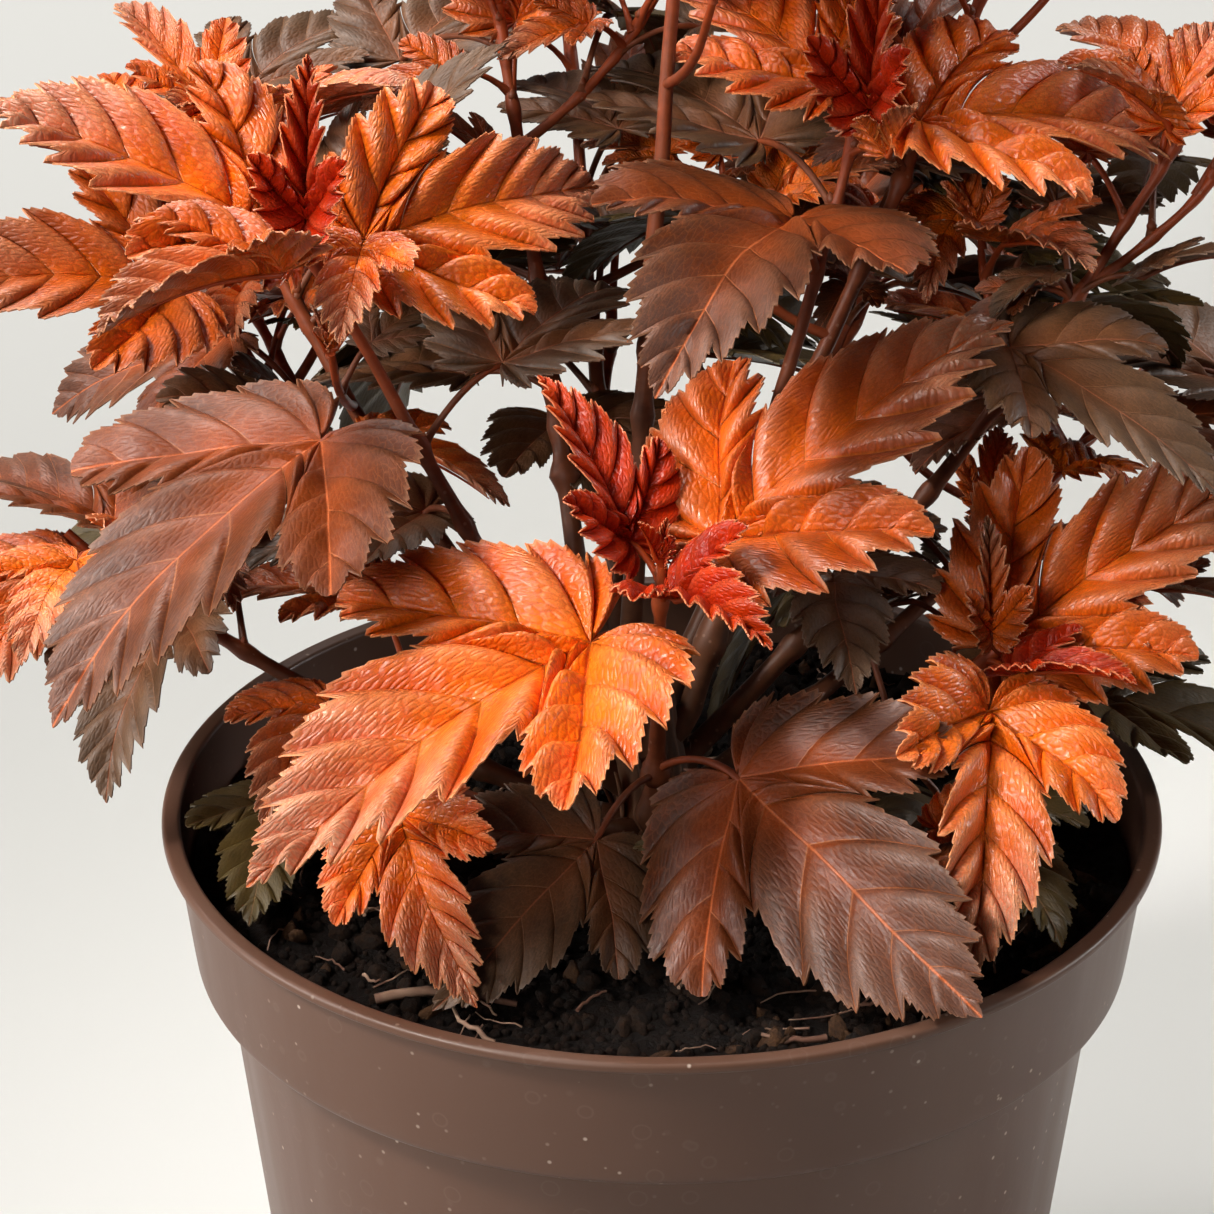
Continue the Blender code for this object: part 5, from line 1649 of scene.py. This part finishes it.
# the dead roots: place, bearing, length and radius of the ones that show clearly, and the ranges
# for the others; inner and outer are the radii between which they lie
fibreLooks = dict(seed=15, count=90, steps=8, inner=0.011, outer=0.083, spread=(0.014, 0.066),
                  lengths=(0.004, 0.018), radii=[0.00018, 0.00025, 0.0004], bend=1.2, kink=0.15,
                  lift=0.0012, liftRange=0.0006, clear=[
                      (-0.052, -0.058, 10, 0.026, 0.0011), (-0.030, -0.070, 160, 0.014, 0.0006),
                      (0.030, -0.068, 200, 0.012, 0.0007)])


def soilHeight(x, y):
    look, place = soilLooks, Vector((x, y, 0))
    swell = look["swell"] * sin(x * 130 + 1) * cos(y * 110) * min(1, hypot(x, y) / 0.04)
    lumps = noise.fractal(place * look["lumpScale"], 1.0, 2.0, 3) * look["lump"] * 0.42
    fine = noise.noise(place * look["fineScale"]) * look["fine"]
    return soilTop + swell + lumps + fine


def moistPeat(name, dark, light, grain):
    # moist peat mix: nearly black crumbs with brown fibre, dull but for a slight wet sheen
    made, tree, shader = newMaterial(name, 0.88, Specular_IOR_Level=0.2)
    spot = add(tree, "TexCoord", out=3)
    clump = add(tree, "TexNoise", {"Vector": spot, "Scale": perMm(grain), "Detail": 6.0, "Roughness": 0.7})
    mixed = add(tree, "MapRange", [clump, 0.35, 0.72, 0, 1])
    colour = layered(tree, dark, [(light, mixed)])
    wet = add(tree, "MapRange", [clump, 0.3, 0.7, 0.62, 0.95])
    dress(tree, shader, colour, clump, 1.4, gloss=wet)
    return made


# a ring of points at this height, or on the soil's surface where none is given
def soilRing(radius, height=None):
    ring = []
    for k in range(soilLooks["segments"]):
        angle = tau * k / soilLooks["segments"]
        x, y = radius * cos(angle), radius * sin(angle)
        ring.append(Vector((x, y, soilHeight(x, y) if height is None else height)))
    return ring


def makeSoil():
    p, look = potForm, soilLooks
    clear, bottom = p["wall"] + touchGap, p["floor"] + touchGap
    foot = p["height"] - p["collarHeight"]
    edge = p["collarFootRadius"] - clear + look["flare"]
    # the middle and the rings of the surface, those down the pot's wall, and the middle below
    loops = [[Vector((0, 0, soilHeight(0, 0)))]]
    loops += [soilRing(edge * ring / look["rings"]) for ring in range(1, look["rings"] + 1)]
    loops.append(soilRing(p["collarFootRadius"] - clear, foot + 0.0034))
    loops.append(soilRing(p["bodyTopRadius"] - clear, foot - 0.0018))
    loops.append(soilRing(p["bodyFootRadius"] - clear, p["floor"] + 0.0020))
    loops.append(soilRing(p["bodyFootRadius"] - clear - 0.0014, bottom))
    loops.append([Vector((0, 0, bottom))])
    points, rings = [], []
    for loop in loops:
        rings.append(list(range(len(points), len(points) + len(loop))))
        points += loop
    faces = [face[::-1] for face in ringFaces(rings, look["segments"])]
    soil = sceneMesh("potting_mix", points, faces, moistPeat("moistPeat", "#080402", "#1C100A", 1.4286))
    linkToScene(soil)
    soil.data.shade_smooth()
    placePiece(soil, ["soil"])
    makeCrumbs(soil)
    makeFibres()
    print("soil made")


# a rough little lump on which the scattered crumbs are based
def crumbMesh(name, seed, stretch, level):
    shape = bmesh.new()
    bmesh.ops.create_icosphere(shape, subdivisions=level, radius=1.0)
    for vert in shape.verts:
        spot = vert.co + Vector((seed * 9.1, 0, 0))
        vert.co *= 1 + 0.45 * noise.noise(spot * 1.4) + 0.38 * noise.noise(spot * 4.1)
        vert.co = Vector((vert.co.x * stretch[0], vert.co.y * stretch[1], vert.co.z * stretch[2]))
    mesh = bpy.data.meshes.new(name)
    shape.to_mesh(mesh)
    shape.free()
    return bpy.data.objects.new(name, mesh)


def scatterTree():
    tree, given = newTree("soilCrumbs", {
        "Lumps": ("Collection", None), "Density": ("Float", 1000.0), "Smallest": ("Float", 0.0006),
        "Largest": ("Float", 0.0015), "Seed": ("Int", crumbSeed), "Finish": ("Material", None)})
    # only on the upper side of the soil, not on its sides or its floor
    up = add(tree, "SeparateXYZ", [add(tree, "GeometryNodeInputNormal")], out=2)
    high = add(tree, "SeparateXYZ", [add(tree, "GeometryNodeInputPosition")], out=2)
    up = add(tree, "FunctionNodeCompare", [up, 0.4], data_type="FLOAT", operation="GREATER_THAN")
    high = add(tree, "FunctionNodeCompare", [high, soilTop - 0.01], data_type="FLOAT",
               operation="GREATER_THAN")
    onTop = add(tree, "FunctionNodeBooleanMath", [up, high], operation="AND")
    spots = add(tree, "GeometryNodeDistributePointsOnFaces",
                {"Mesh": given["Geometry"], "Selection": onTop, "Density": given["Density"],
                 "Seed": given["Seed"]})
    lumps = add(tree, "GeometryNodeCollectionInfo",
                {"Collection": given["Lumps"], "Separate Children": True, "Reset Children": True})
    turn = add(tree, "FunctionNodeRandomValue", {0: (0, 0, 0), 1: (6.28, 6.28, 6.28), 8: given["Seed"]},
               data_type="FLOAT_VECTOR")
    size = add(tree, "FunctionNodeRandomValue", {2: given["Smallest"], 3: given["Largest"], 8: 4}, out=1,
               data_type="FLOAT")
    turn = add(tree, "FunctionNodeEulerToRotation", [turn])
    crumbs = add(tree, "GeometryNodeInstanceOnPoints",
                 {"Points": spots, "Instance": lumps, "Pick Instance": True, "Rotation": turn,
                  "Scale": size})
    crumbs = add(tree, "GeometryNodeRealizeInstances", [crumbs])
    crumbs = add(tree, "GeometryNodeSetShadeSmooth", {"Geometry": crumbs})
    crumbs = add(tree, "GeometryNodeSetMaterial", {"Geometry": crumbs, "Material": given["Finish"]})
    add(tree, "NodeGroupOutput", [crumbs])
    return tree


def makeCrumbs(soil):
    tree = scatterTree()
    for number, (name, kind) in enumerate(crumbKinds.items()):
        lumps = bpy.data.collections.new(name)
        for k in range(5):
            lumps.objects.link(crumbMesh(f"{name}_{k}", k + 7 * number, kind["stretch"], kind["level"]))
        small, large = kind["sizes"]
        base = bpy.data.objects.new(name, soil.data.copy())
        piece = bakeTree(base, tree, {"Lumps": lumps, "Density": kind["density"] * 1e4,
                                      "Smallest": small * mm, "Largest": large * mm, "Seed": 11 + number,
                                      "Finish": moistPeat(*kind["finish"])})
        trimOutside(piece)
        placePiece(piece, ["soil"])
        dropTemplates(lumps)


# takes away whole crumbs that reach into the pot's wall or the stock
def trimOutside(piece):
    shape = bmesh.new()
    shape.from_mesh(piece.data)
    seen, gone = set(), []
    limit = potForm["collarFootRadius"] - potForm["wall"] - 0.0002
    for start in shape.verts:
        if start in seen:
            continue
        island, front = [], [start]
        seen.add(start)
        while front:
            vert = front.pop()
            island.append(vert)
            for edge in vert.link_edges:
                other = edge.other_vert(vert)
                if other not in seen:
                    seen.add(other)
                    front.append(other)
        reaches = [hypot(vert.co.x, vert.co.y) for vert in island]
        if max(reaches) > limit or min(reaches) < stockForm["radius"] * 0.9:
            gone += island
    bmesh.ops.delete(shape, geom=gone, context="VERTS")
    shape.to_mesh(piece.data)
    shape.free()


def rootFibre():
    # dead roots and twig bits in the mix: dry, pinkish tan to grey
    made, tree, shader = newMaterial("dryRootFibre", 0.8)
    spot = add(tree, "TexCoord", out=3)
    patch = add(tree, "TexNoise", {"Vector": spot, "Scale": perMm(7.1429), "Detail": 3.0})
    patch = add(tree, "MapRange", [patch, 0.35, 0.65, 0, 1])
    dress(tree, shader, layered(tree, "#6A4636", [("#A88872", patch)]), patch, 0.2, 0.5)
    return made


def makeFibres():
    look, runs = fibreLooks, []
    dice, wanted, steps = random.Random(look["seed"]), list(look["clear"]), look["steps"]
    nearest, width = look["spread"]
    for _ in range(look["count"]):
        angle, out = dice.uniform(0, tau), nearest + width * sqrt(dice.random())
        wanted.append((out * cos(angle), out * sin(angle), dice.uniform(0, 360),
                       dice.uniform(*look["lengths"]), dice.choice(look["radii"])))
    for x, y, bearing, length, radius in wanted:
        run, way = [], radians(bearing)
        bend, step = dice.uniform(-look["bend"], look["bend"]), length / steps
        for k in range(steps + 1):
            if hypot(x, y) > look["outer"] or hypot(x, y) < look["inner"]:
                break
            lift = radius * 0.6 + look["lift"] + dice.uniform(0, look["liftRange"])
            run.append((Vector((x, y, soilHeight(x, y) + lift)), radius * (1 - 0.5 * k / steps), 0.5))
            x, y = x + step * cos(way), y + step * sin(way)
            way += bend / steps + dice.uniform(-look["kink"], look["kink"])
        if len(run) > 3:
            runs.append(run)
    piece = limbPiece("root_fibres", runs, limbTree(), {"Bark": rootFibre(), "Sides": 6, "Relief": 0.2})
    placePiece(piece, ["soil"])


# stage, lights and camera

# The camera's place is in metres from the middle of the pot's rim; angles are in degrees.
studio = dict(floorSize=6.0, worldColour="#F7F4EF", world=0.06,
              camera=(0, -0.9597, 0.5377), cameraTurn=(62.67, 0, 0.62), viewAngle=12)
# The main light is above and behind to the left; the other softboxes have grids in front. Each has
# its place, the spot it aims at, its width (m), power (W), colour and spread (degrees).
lights = {
    "main_softbox": ((-0.60, 0.90, 1.90), (-0.05, 0.35, 0), 1.1, 44, "#FFFBF5", 180),
    "key_softbox": ((-0.81, -0.40, 1.20), (0, 0, 0.22), 0.35, 0.52, "#FFFAF4", 20),
    "fill_softbox": ((-0.60, -1.15, 0.90), (0, 0, 0.31), 0.5, 0.30, "#FFF8F0", 20),
    "side_softbox": ((-1.25, -0.10, 0.50), (0, 0, 0.12), 0.4, 0.37, "#FFFCF8", 25),
    "rim_softbox": ((1.2, 0.35, 0.5), (0, 0, 0.12), 0.4, 0.25, "#FFFFFF", 25),
    "back_wash": ((-0.05, 1.3, 1.3), (-0.05, 1.0, 0), 0.8, 1.6, "#FFFFFF", 90),
}


def paperFloor():
    # matt background paper: warm white, a little uneven
    made, tree, shader = newMaterial("matteStudioPaper", 0.95)
    spot = add(tree, "TexCoord", out=3)
    cloud = add(tree, "TexNoise", {"Vector": spot, "Scale": perMm(769.23), "Detail": 2.0})
    tree.links.new(layered(tree, "#CCCDCB", [("#D1D2D1", cloud)]), shader.inputs["Base Color"])
    return made


def areaLight(name, place, aim, size, power, colour, spread):
    lamp = bpy.data.lights.new(name, "AREA")
    lamp.shape, lamp.size, lamp.energy, lamp.color = "SQUARE", size, power, hexToLinear(colour)[:3]
    lamp.spread = radians(spread)
    obj = bpy.data.objects.new(name, lamp)
    obj.location = place
    obj.rotation_euler = (Vector(aim) - Vector(place)).to_track_quat("-Z", "Y").to_euler()
    obj.visible_camera = False
    linkToScene(obj)


def makeCamera():
    eye = bpy.data.cameras.new("camera")
    eye.sensor_width = 36
    eye.lens = eye.sensor_width / 2 / tan(radians(studio["viewAngle"] / 2))
    camera = bpy.data.objects.new("camera", eye)
    x, y, up = studio["camera"]
    camera.location = (x, y, potHeight + up)
    camera.rotation_euler = [radians(angle) for angle in studio["cameraTurn"]]
    linkToScene(camera)
    bpy.context.scene.camera = camera


def makeStage():
    half = studio["floorSize"]
    corners = [(-half, -half, 0), (half, -half, 0), (half, half, 0), (-half, half, 0)]
    floor = sceneMesh("paper_floor", corners, [(0, 1, 2, 3)], paperFloor())
    linkToScene(floor)
    for name, light in lights.items():
        areaLight(name, *light)
    world = bpy.data.worlds.new("pale_room")
    world.use_nodes = True
    sky = world.node_tree.nodes["Background"]
    sky.inputs["Color"].default_value = hexToLinear(studio["worldColour"])
    sky.inputs["Strength"].default_value = studio["world"]
    bpy.context.scene.world = world
    bpy.context.scene.view_settings.view_transform = "Standard"
    makeCamera()
    print("stage made")


def main():
    stems, twigs, kept = growPlant()
    makeLeaves(kept)
    makeLimbs(stems, twigs, kept)
    makeStock()
    makePot()
    makeSoil()
    makeStage()


main()
